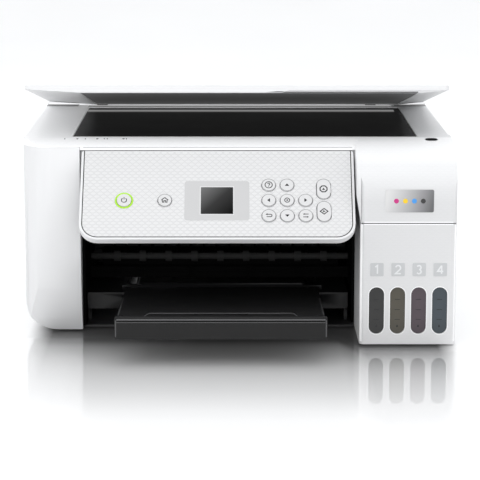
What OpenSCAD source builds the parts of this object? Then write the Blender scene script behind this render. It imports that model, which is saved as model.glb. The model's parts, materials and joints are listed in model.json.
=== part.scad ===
// Multifunction ink tank printer: flatbed scanner on top, slanted control panel,
// pull-out paper tray at the front, ink tanks in the right-hand tower and a rear
// sheet feeder. Millimetres, +Z up, +X to the viewer's right, the front faces -Y.

/* [Body] */
// Height of the scanner deck above the table
deck_z = 173; // [171:0.5:178]
// Thickness of the outer covers
wall = 2.5; // [2:0.1:3]
// Height of the rubber feet
foot_h = 1.6; // [1.4:0.1:3]
// Distance of the panel and the left corner behind the tower's front
front_setback = 43; // [40:0.5:46]
// Gap between neighbouring covers
seam_gap = 0.4; // [0.3:0.1:0.6]
// Height over which the deck's front border curves down
border_drop = 6.4; // [5:0.1:7]
// Depth of the curved border in front of the glass
border_depth = 21; // [18:0.5:23]
// Radius of the vertical corners at the back
back_corner_r = 8; // [5:0.5:12]

/* [Left corner] */
// Width of the left front pillar
pillar_w = 51; // [48:0.5:56]
// Width of the elliptical blend at the left front corner
corner_rx = 25; // [22:0.5:28]
// Depth of the elliptical blend at the left front corner
corner_ry = 30; // [26:0.5:60]
// Radius along the lower left edge
bottom_r = 29.5; // [24:0.5:32]
// Height at which the pillar's front begins to curve back
taper_z = 80; // [70:1:90]
// Distance by which the pillar's foot lies back
taper_depth = 16; // [10:0.5:20]

/* [Ink tank tower] */
// Width of the tower's walls and clearances beside its four tanks
tower_side_w = 10.3; // [8.3:0.1:11.8]
// Depth of the tower's lower box
tower_d = 78; // [76:0.5:79]
// Height of the seam between the tower's box and its hood
seam_z = 106.9; // [106:0.1:110]
// Length of the hood's waterfall curve
fall_len = 69.5; // [64:0.5:71]
// Height of the hood's waterfall curve
fall_h = 36; // [30:0.5:40]
// Distance by which the hood's inner side leans towards the panel
hood_lean = 2.9; // [1:0.1:3.2]
// Radius of the tower's inner vertical edge
tower_inner_r = 4.5; // [3:0.5:5]
// Radius of the tower's outer vertical edge
tower_outer_r = 3; // [2:0.5:4]
// Distance between neighbouring tanks
tank_pitch = 18.05; // [17.9:0.05:18.2]
// Width of one tank window
window_w = 13; // [11:0.5:14]
// Height of one tank window
window_h = 41; // [36:0.5:44]
// Height of the windows' lower ends above the table
window_z = 10.5; // [9.5:0.5:14]
// Side of a square label tile above each window
tile_w = 12; // [10:0.5:14]
// Height of the label tiles' lower edge
tile_z = 61; // [58:0.5:64]
// Radius of the filling neck of a tank
neck_r = 6; // [5:0.25:6.5]

/* [Control panel] */
// Mean gap between the panel and the covers beside it
panel_gap = 3.25; // [3:0.05:5]
// Length of the panel up its slope
panel_len = 88.4; // [86:0.2:90]
// Angle of the panel above the table
panel_tilt = 50; // [49:0.2:52]
// Radius of the panel's lower corners
panel_corner_r = 16; // [12:0.5:20]
// Depth of the panel's rim
rim_depth = 5; // [4:0.5:6]
// Diameter of a round button
button_d = 12.1; // [11:0.1:13.4]
// Stroke of the buttons
button_stroke = 0.8; // [0.5:0.1:1]
// Height by which a button stands above the panel
button_proud = 0.9; // [0.6:0.1:1.2]
// Distance between the button columns
button_dx = 15.7; // [15.2:0.1:16.5]
// Distance between the button rows
button_dy = 15.25; // [14.6:0.05:16]
// Length of the stop and start buttons
long_button_l = 20.1; // [18:0.1:21]
// Outer diameter of the power ring
ring_d = 15.6; // [15:0.1:17]
// Width of the grey field round the display
display_field_w = 55.2; // [50:0.2:57]
// Height of the grey field round the display
display_field_h = 38.7; // [34:0.1:41]
// Width of the display
display_w = 27.6; // [25:0.2:36]
// Height of the display
display_h = 27.2; // [22:0.2:30]
// Radius of the display field's corners
field_r = 2.4; // [1:0.1:4]

/* [Scanner and lid] */
// Width of the platen glass
glass_w = 302; // [298:1:306]
// Depth of the platen glass
glass_d = 222.6; // [218:0.2:224]
// Thickness of the platen glass
glass_t = 2.8; // [2.5:0.1:3]
// Gap round the platen glass
glass_gap = 0.3; // [0.2:0.05:0.5]
// Mean width of the deck beside the glass
deck_side_w = 36.5; // [34:0.5:40]
// Depth of the deck behind the glass, where the lid's hinges are
hinge_zone_d = 31.6; // [30:0.2:36]
// Distance of the lid's sides from the body's
lid_margin = 3.5; // [2:0.1:8]
// Thickness of the lid at its edge
lid_t = 6.2; // [5.5:0.1:7]
// Angle at which the lid stands open
lid_open = 8.9; // [4:0.1:20]
// Radius of the lid's corners
lid_corner_r = 4; // [2.5:0.5:12]
// Height of the scanner's lower case
pan_h = 26; // [24:0.5:27]
// Diameter of the rod that carries the image sensor
scan_rod_d = 8; // [6:0.5:10]
// Diameter of the scanner's hinge pins
hinge_pin_d = 6; // [5:0.5:7]

/* [Paper tray] */
// Width of the pull-out tray's front
tray_front_w = 175.8; // [170:0.2:178]
// Distance by which the tray's front stands ahead of the tower
tray_out = 70.5; // [60:0.5:80]
// Height of the tray's front face
tray_front_h = 19; // [17:0.5:20]
// Height of the tray's front edge above the table
tray_front_z = 41; // [40:0.5:43]
// Slope of the tray
tray_slope = 2.9; // [2.5:0.1:3.2]
// Travel of the tray
tray_travel = 145; // [120:1:146]
// Length of the tray behind its front
tray_len = 186; // [180:1:190]
// Height of the fixed tray base's front face
base_front_h = 14.6; // [12:0.2:15]
// Length of the paper stopper
stopper_l = 20; // [16:0.5:30]
// Width of the paper stopper
stopper_w = 128; // [110:1:132]

/* [Rear feeder] */
// Depth of the feeder's strip behind the deck
feeder_zone_d = 28.5; // [27:0.5:34]
// Width of the channels beside the paper
channel_w = 6; // [5:0.1:8]
// Angle of the feeder behind the vertical
feeder_tilt = 12; // [11:0.5:13]
// Length of the paper support plate
support_l = 120; // [110:1:124]

/* [Mechanism] */
// Diameter of the carriage rod
carriage_rod_d = 8; // [6:0.5:10]
// Diameter of the feed roller
feed_roller_d = 12; // [10:0.5:13]
// Diameter of the exit roller's rings
exit_roller_d = 10; // [9:0.5:11]
// Running clearance of shafts in their bores, on the radius
bore_gap = 0.05; // [0.03:0.01:0.08]
// Clearance between sliding pieces
slide_gap = 0.4; // [0.3:0.05:0.6]

/* [Hidden] */
$fn = 48;
eps = 0.01;

white = [0.93, 0.94, 0.95];
black = [0.06, 0.06, 0.07];
dark = [0.17, 0.17, 0.18];
steel = [0.68, 0.7, 0.72];

// Overall places; the origin is under the middle of the printer with its tray out
body_w = glass_w + 2 * deck_side_w;
body_d = front_setback + border_depth + glass_gap + glass_d + hinge_zone_d + feeder_zone_d;
lid_w = body_w - 2 * lid_margin;
right_x = body_w / 2;
back_y = body_d / 2;
tower_y = -body_d / 2;
front_y = tower_y + front_setback;
tray_y = tower_y - tray_out;
origin_dy = -(tray_y - tray_front_h * sin(tray_slope) + back_y) / 2;
tower_w = 4 * tank_pitch + tower_side_w;
tower_x = right_x - tower_w;
pillar_x = -right_x + pillar_w;
split_z = deck_z - border_drop;
skirt_z = split_z - 2.5;
pan_z = split_z - pan_h;
panel_w = tower_x - pillar_x - 2 * panel_gap;
panel_cx = (pillar_x + tower_x) / 2 - 1.05;
paper_cx = (pillar_x + tower_x) / 2 - 0.25;
deck_rear_y = back_y - feeder_zone_d;
feeder_y = deck_rear_y + 7;
tower_back_y = tower_y + tower_d;
floor_z = foot_h + 2.4;

// Outlines
function arc(cx, cy, rx, ry, a0, a1, n) =
    [for (i = [0:n]) let (a = a0 + (a1 - a0) * i / n) [cx + rx * cos(a), cy + ry * sin(a)]];
function corner(cx, cy, r, a0) = arc(cx, cy, r, r, a0, a0 + 90, 8);
function round_rect(x0, y0, x1, y1, r) = concat(
    corner(x1 - r, y1 - r, r, 0), corner(x0 + r, y1 - r, r, 90),
    corner(x0 + r, y0 + r, r, 180), corner(x1 - r, y0 + r, r, 270));

module box(a, b) {
    translate(a) cube([b[0] - a[0], b[1] - a[1], b[2] - a[2]]);
}
// A profile drawn in Y and Z, extruded from x0 to x1
module along_x(x0, x1) {
    translate([x0, 0, 0]) rotate([90, 0, 90]) linear_extrude(x1 - x0) children();
}
// A profile drawn in X and Z, extruded from y0 to y1
module along_y(y0, y1) {
    translate([0, y1, 0]) rotate([90, 0, 0]) linear_extrude(y1 - y0) children();
}
module rod_x(x0, x1, y, z, d) {
    translate([x0, y, z]) rotate([0, 90, 0]) cylinder(d = d, h = x1 - x0);
}
module rod_y(x, y0, y1, z, d) {
    translate([x, y0, z]) rotate([-90, 0, 0]) cylinder(d = d, h = y1 - y0);
}
module place() {
    translate([0, origin_dy, 0]) children();
}
module mirror_x() {
    children();
    mirror([1, 0, 0]) children();
}

// ---- Outer covers -------------------------------------------------------------

taper_h = taper_z - foot_h;
taper_r = (taper_h * taper_h + taper_depth * taper_depth) / (2 * taper_depth);
taper_a = asin(taper_h / taper_r);
return_d = taper_depth + wall + 5.5;
ledge_x = -right_x + bottom_r + 6;
back_return = 9.7;
edge_r = 3;

// Plan of the left side with its elliptical front corner, set in by o
module left_plan(o, x1) {
    polygon(concat(
        arc(-right_x + corner_rx, front_y + corner_ry, corner_rx - o, corner_ry - o, 180, 270, 24),
        [[x1, front_y + o], [x1, back_y - o]],
        corner(-right_x + back_corner_r, back_y - back_corner_r, back_corner_r - o, 90)));
}
// The left cover's volume, set in by o on all sides
module left_volume(o, top) {
    intersection() {
        translate([0, 0, foot_h]) linear_extrude(top - foot_h) left_plan(o, pillar_x - o);
        along_y(tower_y, back_y + 1) polygon(concat(
            arc(-right_x + bottom_r, foot_h + bottom_r, bottom_r - o, bottom_r - o, 180, 270, 14),
            [[pillar_x + 1, foot_h + o], [pillar_x + 1, top + 1], [-right_x + o, top + 1]]));
        along_x(-right_x - 1, pillar_x + 1) polygon(concat(
            [[back_y + 1, top + 1], [front_y + o, top + 1]],
            arc(front_y + taper_r, taper_z, taper_r - o, taper_r - o, 180, 180 + taper_a, 12),
            [[front_y + taper_depth + o, foot_h - 1], [back_y + 1, foot_h - 1]]));
    }
}
module left_side_cover() {
    color(white) place() difference() {
        left_volume(0, split_z - seam_gap);
        left_volume(wall, split_z + 1);
        box([ledge_x, front_y + return_d, foot_h - 1], [pillar_x + 1, back_y - wall - 2, split_z + 1]);
        // Room for the scanner's lower case
        box([ledge_x, pan_y0 - 1, pan_z - 1], [pillar_x + 1, front_y + return_d + 1, split_z + 1]);
        box([-right_x + back_return, back_y - wall - 3, foot_h - 1],
            [pillar_x + 1, back_y + 1, split_z + 1]);
    }
}
module right_volume(o, top) {
    x0 = right_x - 20;
    intersection() {
        translate([0, 0, foot_h]) linear_extrude(top - foot_h) polygon(concat(
            [[x0, tower_back_y + seam_gap], [right_x - o, tower_back_y + seam_gap]],
            corner(right_x - back_corner_r, back_y - back_corner_r, back_corner_r - o, 0),
            [[x0, back_y - o]]));
        along_y(tower_y, back_y + 1) polygon(concat(
            [[x0 - 1, foot_h + o]],
            corner(right_x - edge_r, foot_h + edge_r, edge_r - o * 0.8, 270),
            [[right_x - o, top + 1], [x0 - 1, top + 1]]));
    }
}
module right_side_cover() {
    color(white) place() difference() {
        right_volume(0, split_z - seam_gap);
        right_volume(wall, split_z + 1);
        box([right_x - 21, tower_y, foot_h - 1], [right_x - 8, back_y - wall - 2, split_z + 1]);
        box([right_x - 21, tower_y, foot_h - 1], [right_x - back_return, back_y + 1, split_z + 1]);
    }
}
// Plan of the tower, set in by o, from its front back to y1
module tower_plan(o, y1) {
    polygon(concat(
        [[right_x - o, y1], [tower_x + o, y1]],
        corner(tower_x + tower_inner_r, tower_y + tower_inner_r, tower_inner_r - o, 180),
        corner(right_x - tower_outer_r, tower_y + tower_outer_r, max(tower_outer_r - o, 0.2), 270)));
}
// A slot's outline: a circle at each end of a bar
module slot_shape(w, h) {
    translate([0, w / 2]) circle(d = w);
    translate([0, h - w / 2]) circle(d = w);
    translate([-w / 2, w / 2]) square([w, h - w]);
}
tank_x = [for (i = [0:3]) (tower_x + right_x) / 2 + 0.45 + tank_pitch * (i - 1.5)];
tower_top = seam_z - seam_gap / 2;
module tank_front_cover() {
    color(white) place() difference() {
        union() {
            translate([0, 0, foot_h]) linear_extrude(tower_top - foot_h) tower_plan(0, tower_back_y);
            for (x = tank_x) along_y(tower_y - 0.45, tower_y + 1)
                polygon(round_rect(x - tile_w / 2, tile_z, x + tile_w / 2, tile_z + tile_w, 1.2));
        }
        translate([0, 0, foot_h + wall]) linear_extrude(tower_top) tower_plan(wall, tower_back_y - wall);
        for (x = tank_x) along_y(tower_y - 1, tower_y + wall + 1)
            translate([x, window_z]) slot_shape(window_w, window_h);
        // Outlet for the ink tubes
        box([tank_x[0] - 4, tower_back_y - wall - 1, 24], [tank_x[3] + 4, tower_back_y + 1, 36]);
    }
}
rear_top = deck_z - 0.6;
rear_cap_z = split_z;
slot_y0 = feeder_y + wall;
slot_y1 = back_y - wall - 0.5;
hinge_y = deck_rear_y + 1;
hinge_z = deck_z - 15;
hinge_x = right_x - 22.5;
knuckle_w = 12;
ear_t = 4;
ac_x = -right_x + 35.5;
ac_w = 28;
ac_z = 45;
ac_h = 22;
usb_x = tower_x + 8;
usb_z = 40;
module rear_cover() {
    x_in = right_x - back_return - seam_gap / 2;
    color(white) place() {
        difference() {
            union() {
                box([-x_in, back_y - wall, foot_h], [x_in, back_y, rear_top - 1]);
                translate([0, 0, rear_cap_z]) linear_extrude(rear_top - rear_cap_z) polygon(concat(
                    [[-right_x, feeder_y], [right_x, feeder_y]],
                    corner(right_x - back_corner_r, back_y - back_corner_r, back_corner_r, 0),
                    corner(-right_x + back_corner_r, back_y - back_corner_r, back_corner_r, 90)));
            }
            box([-right_x + wall, feeder_y + wall, rear_cap_z - 1],
                [right_x - wall, back_y - wall, rear_top - wall]);
            box([paper_cx - slot_w / 2 - 7, feeder_y + wall, rear_cap_z - 1],
                [paper_cx + slot_w / 2 + 7, slot_y1, rear_top + 1]);
            for (r = [0:7])
                box([ac_x + 36, back_y - wall - 1, 30 + r * 8], [ac_x + 96, back_y + 1, 33 + r * 8]);
            box([ac_x - ac_w / 2, back_y - wall - 1, ac_z], [ac_x + ac_w / 2, back_y + 1, ac_z + ac_h]);
            box([usb_x - 7, back_y - wall - 1, usb_z], [usb_x + 7, back_y + 1, usb_z + 12]);
        }
        mirror_x() for (s = [-1, 1]) {
            x0 = hinge_x + s * (knuckle_w / 2 + slide_gap + ear_t / 2) - ear_t / 2;
            along_x(x0, x0 + ear_t) {
                translate([hinge_y, hinge_z]) circle(r = hinge_pin_d / 2 + 3);
                polygon([[hinge_y, hinge_z - 6], [back_y - wall, hinge_z - 22],
                         [back_y - wall / 2, hinge_z - 22], [back_y - wall / 2, hinge_z + 2],
                         [back_y - wall, hinge_z + 2], [hinge_y, hinge_z + 6]]);
            }
        }
        mirror_x() rod_x(hinge_x - knuckle_w / 2 - slide_gap - ear_t,
            hinge_x + knuckle_w / 2 + slide_gap + ear_t, hinge_y, hinge_z, hinge_pin_d);
    }
}
case_x0 = ledge_x + seam_gap;
case_x1 = right_x - back_return - seam_gap;
case_rim = 26;
module bottom_case() {
    color(dark) place() difference() {
        union() {
            box([case_x0, front_y + return_d + seam_gap, foot_h], [case_x1, back_y - wall, floor_z]);
            for (x = [case_x0, case_x1 - 2])
                box([x, tower_back_y + 2, foot_h], [x + 2, back_y - wall, foot_h + case_rim]);
            box([case_x0, back_y - wall - 2, foot_h], [case_x1, back_y - wall, foot_h + case_rim]);
        }
        box([tower_x - seam_gap, tower_y - 1, foot_h - 1], [right_x, tower_back_y + seam_gap, 40]);
        // Cooling slots
        for (i = [-4:4]) translate([paper_cx + 20 * i, back_y, 0])
            box([6, -73.5, foot_h - 1], [16, -33.5, floor_z + 1]);
    }
}
foot_d = 16;
foot_places = [[ledge_x + 12, front_y + return_d + 12], [(tower_x + right_x) / 2, tower_y + 14],
               [ledge_x + 12, back_y - 18], [right_x - 24, back_y - 18]];
module rubber_feet() {
    color(dark) place() for (p = foot_places) translate([p[0], p[1], 0]) rotate_extrude()
        polygon([[0, 0], [foot_d / 2 - 0.8, 0], [foot_d / 2, 0.8], [foot_d / 2, foot_h], [0, foot_h]]);
}

// ---- Ink tanks ----------------------------------------------------------------

tank_w = tank_pitch - 1.5;
tank_z = foot_h + wall + 0.2;
tank_top = seam_z - 10;
neck_y = tower_y + 26;
cap_axis_y = neck_y + 14;
cap_z = tank_top + 7.2;
module ink_tank(i) {
    x = tank_x[i];
    y0 = tower_y + wall + 0.3;
    y1 = tower_back_y - wall - 0.6;
    place() difference() {
        union() {
            box([x - tank_w / 2, y0, tank_z], [x + tank_w / 2, y1, tank_top]);
            translate([x, neck_y, tank_top - 1]) cylinder(r = neck_r, h = 7.9);
            // Ears of the cap's hinge
            for (s = [-1, 1]) translate([x + s * 5.4 - 1, 0, 0]) along_x(0, 2) {
                translate([cap_axis_y, cap_z + 2]) circle(d = 5);
                translate([cap_axis_y - 2.5, tank_top - 1]) square([5, cap_z + 3 - tank_top]);
            }
            rod_x(x - 6, x + 6, cap_axis_y, cap_z + 2, 2.4);
        }
        box([x - tank_w / 2 + 1.6, y0 + 1.6, tank_z + 1.6], [x + tank_w / 2 - 1.6, y1 - 1.6, tank_top - 1.6]);
        translate([x, neck_y, tank_top - 3]) cylinder(r = neck_r - 1.6, h = 20);
    }
}
module ink_tank_black() color([0.12, 0.12, 0.13]) ink_tank(0);
module ink_tank_yellow() color([0.8, 0.7, 0.1]) ink_tank(1);
module ink_tank_magenta() color([0.7, 0.1, 0.4]) ink_tank(2);
module ink_tank_cyan() color([0.1, 0.5, 0.7]) ink_tank(3);
module tank_cap(i) {
    x = tank_x[i];
    place() difference() {
        union() {
            translate([x, neck_y, cap_z]) cylinder(r = neck_r + 1.6, h = 3.4);
            box([x - 3.6, neck_y, cap_z + 0.4], [x + 3.6, cap_axis_y, cap_z + 3.4]);
            rod_x(x - 3.6, x + 3.6, cap_axis_y, cap_z + 2, 5);
            box([x - 4, neck_y - neck_r - 7, cap_z + 1], [x + 4, neck_y - neck_r, cap_z + 3.4]);
            translate([x, neck_y, cap_z - 3]) cylinder(r = neck_r - 2.2, h = 4);
        }
        rod_x(x - 8, x + 8, cap_axis_y, cap_z + 2, 2.4 + 2 * bore_gap);
    }
}
module tank_cap_black() color([0.15, 0.15, 0.16]) tank_cap(0);
module tank_cap_yellow() color([0.85, 0.75, 0.1]) tank_cap(1);
module tank_cap_magenta() color([0.8, 0.15, 0.45]) tank_cap(2);
module tank_cap_cyan() color([0.1, 0.6, 0.8]) tank_cap(3);

// ---- Inner frame and print mechanism --------------------------------------------

frame_t = 2.5;
frame_x0 = pillar_x + 0.2;
frame_x1 = tower_x - 0.2;
in_x0 = frame_x0 + frame_t;
in_x1 = frame_x1 - frame_t;
frame_top = pan_z - 2.6;
beam_y = front_y + 18.5;
// Roller axes; the gear centres are one tooth module apart per tooth
feed_y = 25;
roller_z = 52;
feed_teeth = 28;
idler_teeth = 27;
exit_teeth = 28;
gear_module = 1;
idler_y = feed_y - gear_module * (feed_teeth + idler_teeth) / 2;
exit_y = idler_y - gear_module * (idler_teeth + exit_teeth) / 2;
feed_shaft_d = 8;
exit_shaft_d = 6;
pickup_shaft_d = 6;
pickup_d = 18;
pickup_z = 84;
hopper_y = slot_y0 + 7;
hopper_z = 168;
pickup_y = hopper_y - (hopper_z - pickup_z) * tan(feeder_tilt) - pickup_d / 2 / cos(feeder_tilt) - 1;
gear_x = frame_x0 - 0.6;
gear_w = 5;
slot_w = in_x1 - in_x0 - 2 * channel_w - 2.1;
paper_x0 = paper_cx - slot_w / 2 + 9;
paper_x1 = paper_cx + slot_w / 2 - 7;
rod_y_pos = 38;
nozzle_w = 44;
nozzle_z = roller_z + 6;
carriage_w = 84;
carriage_z0 = nozzle_z + 12;
carriage_z1 = frame_top - 12;
carriage_rest_x = tower_x + 25;
rod_z_pos = carriage_z0 + 30;

// Panel plane: local x to the right, local y up the slope, local z out of the face
panel_y = front_y - 1.05 - panel_len * cos(panel_tilt);
panel_z = skirt_z - 0.6 - panel_len * sin(panel_tilt);
ceiling_z = panel_z;
module on_panel() {
    translate([panel_cx, panel_y, panel_z]) rotate([panel_tilt, 0, 0]) children();
}
back_box_y0 = 8;
back_box_y1 = 65;
back_box_d = 16;

module inner_frame() {
    color(black) place() {
        difference() {
            union() {
                box([frame_x0, front_y + return_d, floor_z], [in_x0, pickup_y + 20, frame_top]);
                box([in_x1, tower_back_y + seam_gap, floor_z], [frame_x1, pickup_y + 20, frame_top]);
                // Front beam and the sloping ceiling over the stacked paper
                box([in_x0, beam_y, ceiling_z], [in_x1, beam_y + 2.5, frame_top - 2]);
                along_x(in_x0, in_x1) polygon([[beam_y, ceiling_z], [beam_y, ceiling_z + 2],
                    [exit_y - 16, 74], [exit_y - 16, 72]]);
                // Cross beam below the rollers
                box([in_x0, exit_y - 10, 34], [in_x1, feed_y - 8, 37.5]);
                // Closing plate below the exit roller
                box([in_x0, exit_y - 10, 34], [in_x1, exit_y - 8, 44]);
                box([frame_x0, beam_y + 2, floor_z], [in_x0, beam_y + 5, frame_top]);
            }
            // Passage for the carriage
            for (x = [frame_x0, in_x1]) {
                box([x - 1, exit_y - 10, carriage_z0 - 2], [x + frame_t + 1, 66, frame_top + 1]);
                box([x - 1, exit_y + 6, nozzle_z - 1], [x + frame_t + 1, feed_y - 8, carriage_z0]);
                rod_x(x - 1, x + frame_t + 1, feed_y, roller_z, feed_shaft_d + 2 * bore_gap);
                rod_x(x - 1, x + frame_t + 1, exit_y, roller_z, exit_shaft_d + 2 * bore_gap);
                rod_x(x - 1, x + frame_t + 1, pickup_y, pickup_z, pickup_shaft_d + 2 * bore_gap);
            }
        }
        // Ribs under the ceiling
        for (x = [in_x0 + 6.8 : 13.2 : in_x1 - 3]) along_x(x, x + 1.4) polygon([[beam_y + 3, ceiling_z],
            [exit_y - 16, 72.5], [exit_y - 16, 67], [beam_y + 22, ceiling_z - 15]]);
        // Holders of the small exit wheels on the closing plate
        for (b = [[-95, -74], [-69, -29], [-24.9, 24.9], [29, 69], [74, 95]])
            translate([paper_cx, exit_y - 12.2, 35]) {
                for (x = b) box([x - 0.8, 0, 0], [x + 0.8, 2.7, 8.4]);
                box([b[0], 0.8, 4], [b[1], 2.7, 5.6]);
            }
        // Brackets that carry the panel housing
        for (i = [-2:2], x = paper_cx + i * (panel_w / 4 - 13.5)) along_x(x - 1.5, x + 1.5)
            polygon([[panel_back(back_box_y0)[0], panel_back(back_box_y0)[1]],
                     [panel_back(back_box_y1)[0], panel_back(back_box_y1)[1]],
                     [beam_y, panel_back(back_box_y1)[1]], [beam_y, ceiling_z]]);
        // Spindle of the idler gear
        rod_x(gear_x - gear_w - 0.6, frame_x0, idler_y, roller_z, 5);
    }
}
// A point on the panel housing's back, in Y and Z
function panel_back(v) = [panel_y + v * cos(panel_tilt) + back_box_d * sin(panel_tilt),
                          panel_z + v * sin(panel_tilt) - back_box_d * cos(panel_tilt)];

// Involute gear outline
press_a = 20;
backlash = 0.16;
function inv_deg(a) = tan(a) * 180 / PI - a;
function flank(r, rp, n) = let (rb = rp * cos(press_a), a = r > rb ? acos(rb / r) : 0)
    90 / n - backlash / rp * 90 / PI + inv_deg(press_a) - inv_deg(a);
module gear_shape(n, phase) {
    rp = gear_module * n / 2;
    rb = rp * cos(press_a);
    root = rp - 1.2 * gear_module;
    tip = rp + 0.9 * gear_module;
    radii = [root, max(rb, root + 0.05), rp, (rp + tip) / 2, tip];
    polygon([for (i = [0:n - 1]) let (a0 = phase + i * 360 / n)
        for (k = [0:9]) let (r = k < 5 ? radii[k] : radii[9 - k],
                             a = a0 + (k < 5 ? -1 : 1) * flank(r, rp, n)) [r * cos(a), r * sin(a)]]);
}
// A gear about an axis along X; the phase is the angle of one tooth from +Y towards +Z
module gear_x_axis(n, y, z, phase) {
    translate([gear_x - gear_w, y, z]) rotate([90, 0, 90]) linear_extrude(gear_w) gear_shape(n, phase);
}
module feed_roller() {
    color(steel) place() union() {
        rod_x(gear_x - gear_w - 1, in_x1 + 8, feed_y, roller_z, feed_shaft_d);
        rod_x(paper_x0, paper_x1, feed_y, roller_z, feed_roller_d);
        gear_x_axis(feed_teeth, feed_y, roller_z, 180);
    }
}
module idler_gear() {
    color(white) place() difference() {
        gear_x_axis(idler_teeth, idler_y, roller_z, 180 / idler_teeth);
        rod_x(gear_x - gear_w - 1, gear_x + 1, idler_y, roller_z, 5 + 2 * bore_gap);
    }
}
exit_rings = [for (i = [0:8]) paper_x0 + 8 + i * (paper_x1 - paper_x0 - 16) / 8];
module exit_roller() {
    // The idler's odd tooth count turns its far side by half a tooth
    color(dark) place() union() {
        rod_x(gear_x - gear_w - 1, in_x1 + 5, exit_y, roller_z, exit_shaft_d);
        for (x = exit_rings) rod_x(x - 3, x + 3, exit_y, roller_z, exit_roller_d);
        gear_x_axis(exit_teeth, exit_y, roller_z, 180 / exit_teeth);
    }
}
module pickup_roller() {
    color(dark) place() union() {
        rod_x(frame_x0 - 4, in_x1 + 5, pickup_y, pickup_z, pickup_shaft_d);
        for (x = [-60, 30]) rod_x(x - 11, x + 11, pickup_y, pickup_z, pickup_d);
        rod_x(frame_x0 - 3.5, frame_x0 - 0.5, pickup_y, pickup_z, 16);
    }
}
module platen() {
    color(black) place() difference() {
        union() {
            box([paper_x0 - 6, exit_y + 8, 37.5], [paper_x1 + 6, feed_y - 9, 52.5]);
            for (x = [paper_x0 + 3 : 12 : paper_x1 - 2])
                box([x - 0.9, exit_y + 8, 52], [x + 0.9, feed_y - 9, 55.5]);
        }
        box([paper_x0 - 4, exit_y + 10, 36], [paper_x1 + 4, feed_y - 11, 50]);
    }
}
guide_y = 60;
guide_t = 2;
guide_z0 = 74;
guide_z1 = frame_top - 4;
module carriage_guide() {
    x0 = -right_x + 15.5;
    x1 = case_x1 - 2.4;
    foot_x = ledge_x + 3;
    y1 = guide_y + guide_t;
    color(steel) place() {
        difference() {
            union() {
                box([x0, guide_y, guide_z0], [x1, y1, guide_z1]);
                box([foot_x, guide_y - 14, floor_z], [foot_x + 8, guide_y - 12, guide_z0 + guide_t]);
                box([foot_x, guide_y - 14, guide_z0], [foot_x + 8, y1, guide_z0 + guide_t]);
                box([x1 - 8, guide_y, floor_z], [x1, y1, guide_z0 + 6]);
                box([x0, guide_y - 14, guide_z1 - guide_t], [x1, y1, guide_z1]);
                box([x0, guide_y - 6, guide_z0], [x1, y1, guide_z0 + guide_t]);
                for (x = [x0, x1 - guide_t])
                    box([x, rod_y_pos - 8, guide_z0 + 14], [x + guide_t, y1, guide_z1]);
            }
            for (i = [-7:7]) rod_y(20 * i, guide_y - 1, y1 + 1, guide_z0 + 10, 8);
            rod_y(carriage_motor_x, guide_y - 1, y1 + 1, belt_z, 10);
        }
        rod_x(x0 + guide_t, x1 - guide_t, rod_y_pos, rod_z_pos, carriage_rod_d);
    }
}
carriage_motor_x = right_x - 29.5;
belt_z = rod_z_pos + 8;
module carriage() {
    x0 = carriage_rest_x - carriage_w / 2;
    x1 = carriage_rest_x + carriage_w / 2;
    color(dark) place() difference() {
        union() {
            along_x(x0, x1) polygon([[-24, carriage_z0], [14, carriage_z0], [46, 88], [46, 114],
                [30, 118], [22, carriage_z1], [-18, carriage_z1], [-24, 120]]);
            box([carriage_rest_x - nozzle_w / 2, -18, nozzle_z],
                [carriage_rest_x + nozzle_w / 2, 10, carriage_z0 + 2]);
        }
        rod_x(x0 - 1, x1 + 1, rod_y_pos, rod_z_pos, carriage_rod_d + 2 * bore_gap);
        // Four damper pockets on top
        for (i = [0:3]) box([x0 + 6 + i * 18.4, -14, 112], [x0 + 21.5 + i * 18.4, 16, carriage_z1 + 1]);
    }
}
module drive_motors() {
    belt_x0 = -right_x + 29.5;
    color(dark) place() {
        rod_y(carriage_motor_x, guide_y + guide_t, guide_y + 30, belt_z, 28);
        rod_y(carriage_motor_x, guide_y - 10, guide_y + guide_t, belt_z, 4);
        rod_y(carriage_motor_x, guide_y - 10, guide_y - 3, belt_z, 12);
        rod_y(belt_x0, guide_y - 10, guide_y, belt_z, 12);
        translate([0, guide_y - 4, belt_z]) rotate([90, 0, 0]) linear_extrude(4)
            belt_ring(belt_x0, carriage_motor_x, 7, 6);
        // Motor of the rollers
        rod_x(frame_x0 - 28, frame_x0, guide_y + 6, guide_z0 - 14, 26);
    }
}
module belt_ring(x0, x1, r_out, r_in) {
    difference() {
        union() {
            translate([x0, 0]) circle(r = r_out);
            translate([x1, 0]) circle(r = r_out);
            translate([x0, -r_out]) square([x1 - x0, 2 * r_out]);
        }
        translate([x0, 0]) circle(r = r_in);
        translate([x1, 0]) circle(r = r_in);
        translate([x0, -r_in]) square([x1 - x0, 2 * r_in]);
    }
}
module capping_station() {
    color(black) place() difference() {
        union() {
            box([carriage_rest_x - 22, -22, floor_z], [carriage_rest_x + 22, 14, 50]);
            box([carriage_rest_x - 17, -17, 49], [carriage_rest_x + 17, 9, nozzle_z - 1]);
        }
        for (i = [0:3]) translate([carriage_rest_x - 15 + i * 7.8, 0, 0])
            box([0, -15, nozzle_z - 4], [5.5, 7, nozzle_z]);
    }
}
module waste_ink_pad() {
    w = tray_w / 2 - 6;
    color([0.85, 0.85, 0.82]) place()
        box([tray_cx - w, 20, floor_z], [tray_cx + w, back_y - wall - 12, floor_z + 6]);
}
tube_z0 = 30;
tube_z1 = guide_z1 + 1.8;
module ink_tubes() {
    color([0.3, 0.3, 0.32]) place() for (x = tank_x) {
        y0 = tower_back_y - wall - 0.6;
        rod_y(x, y0, y0 + 12, tube_z0, 2.6);
        translate([x, y0 + 12, tube_z0]) sphere(d = 2.6);
        translate([x, y0 + 12, tube_z0]) cylinder(d = 2.6, h = tube_z1 - tube_z0);
        translate([x, y0 + 12, tube_z1]) sphere(d = 2.6);
        rod_y(x, y0 + 12, guide_y - 2, tube_z1, 2.6);
    }
}
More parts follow.
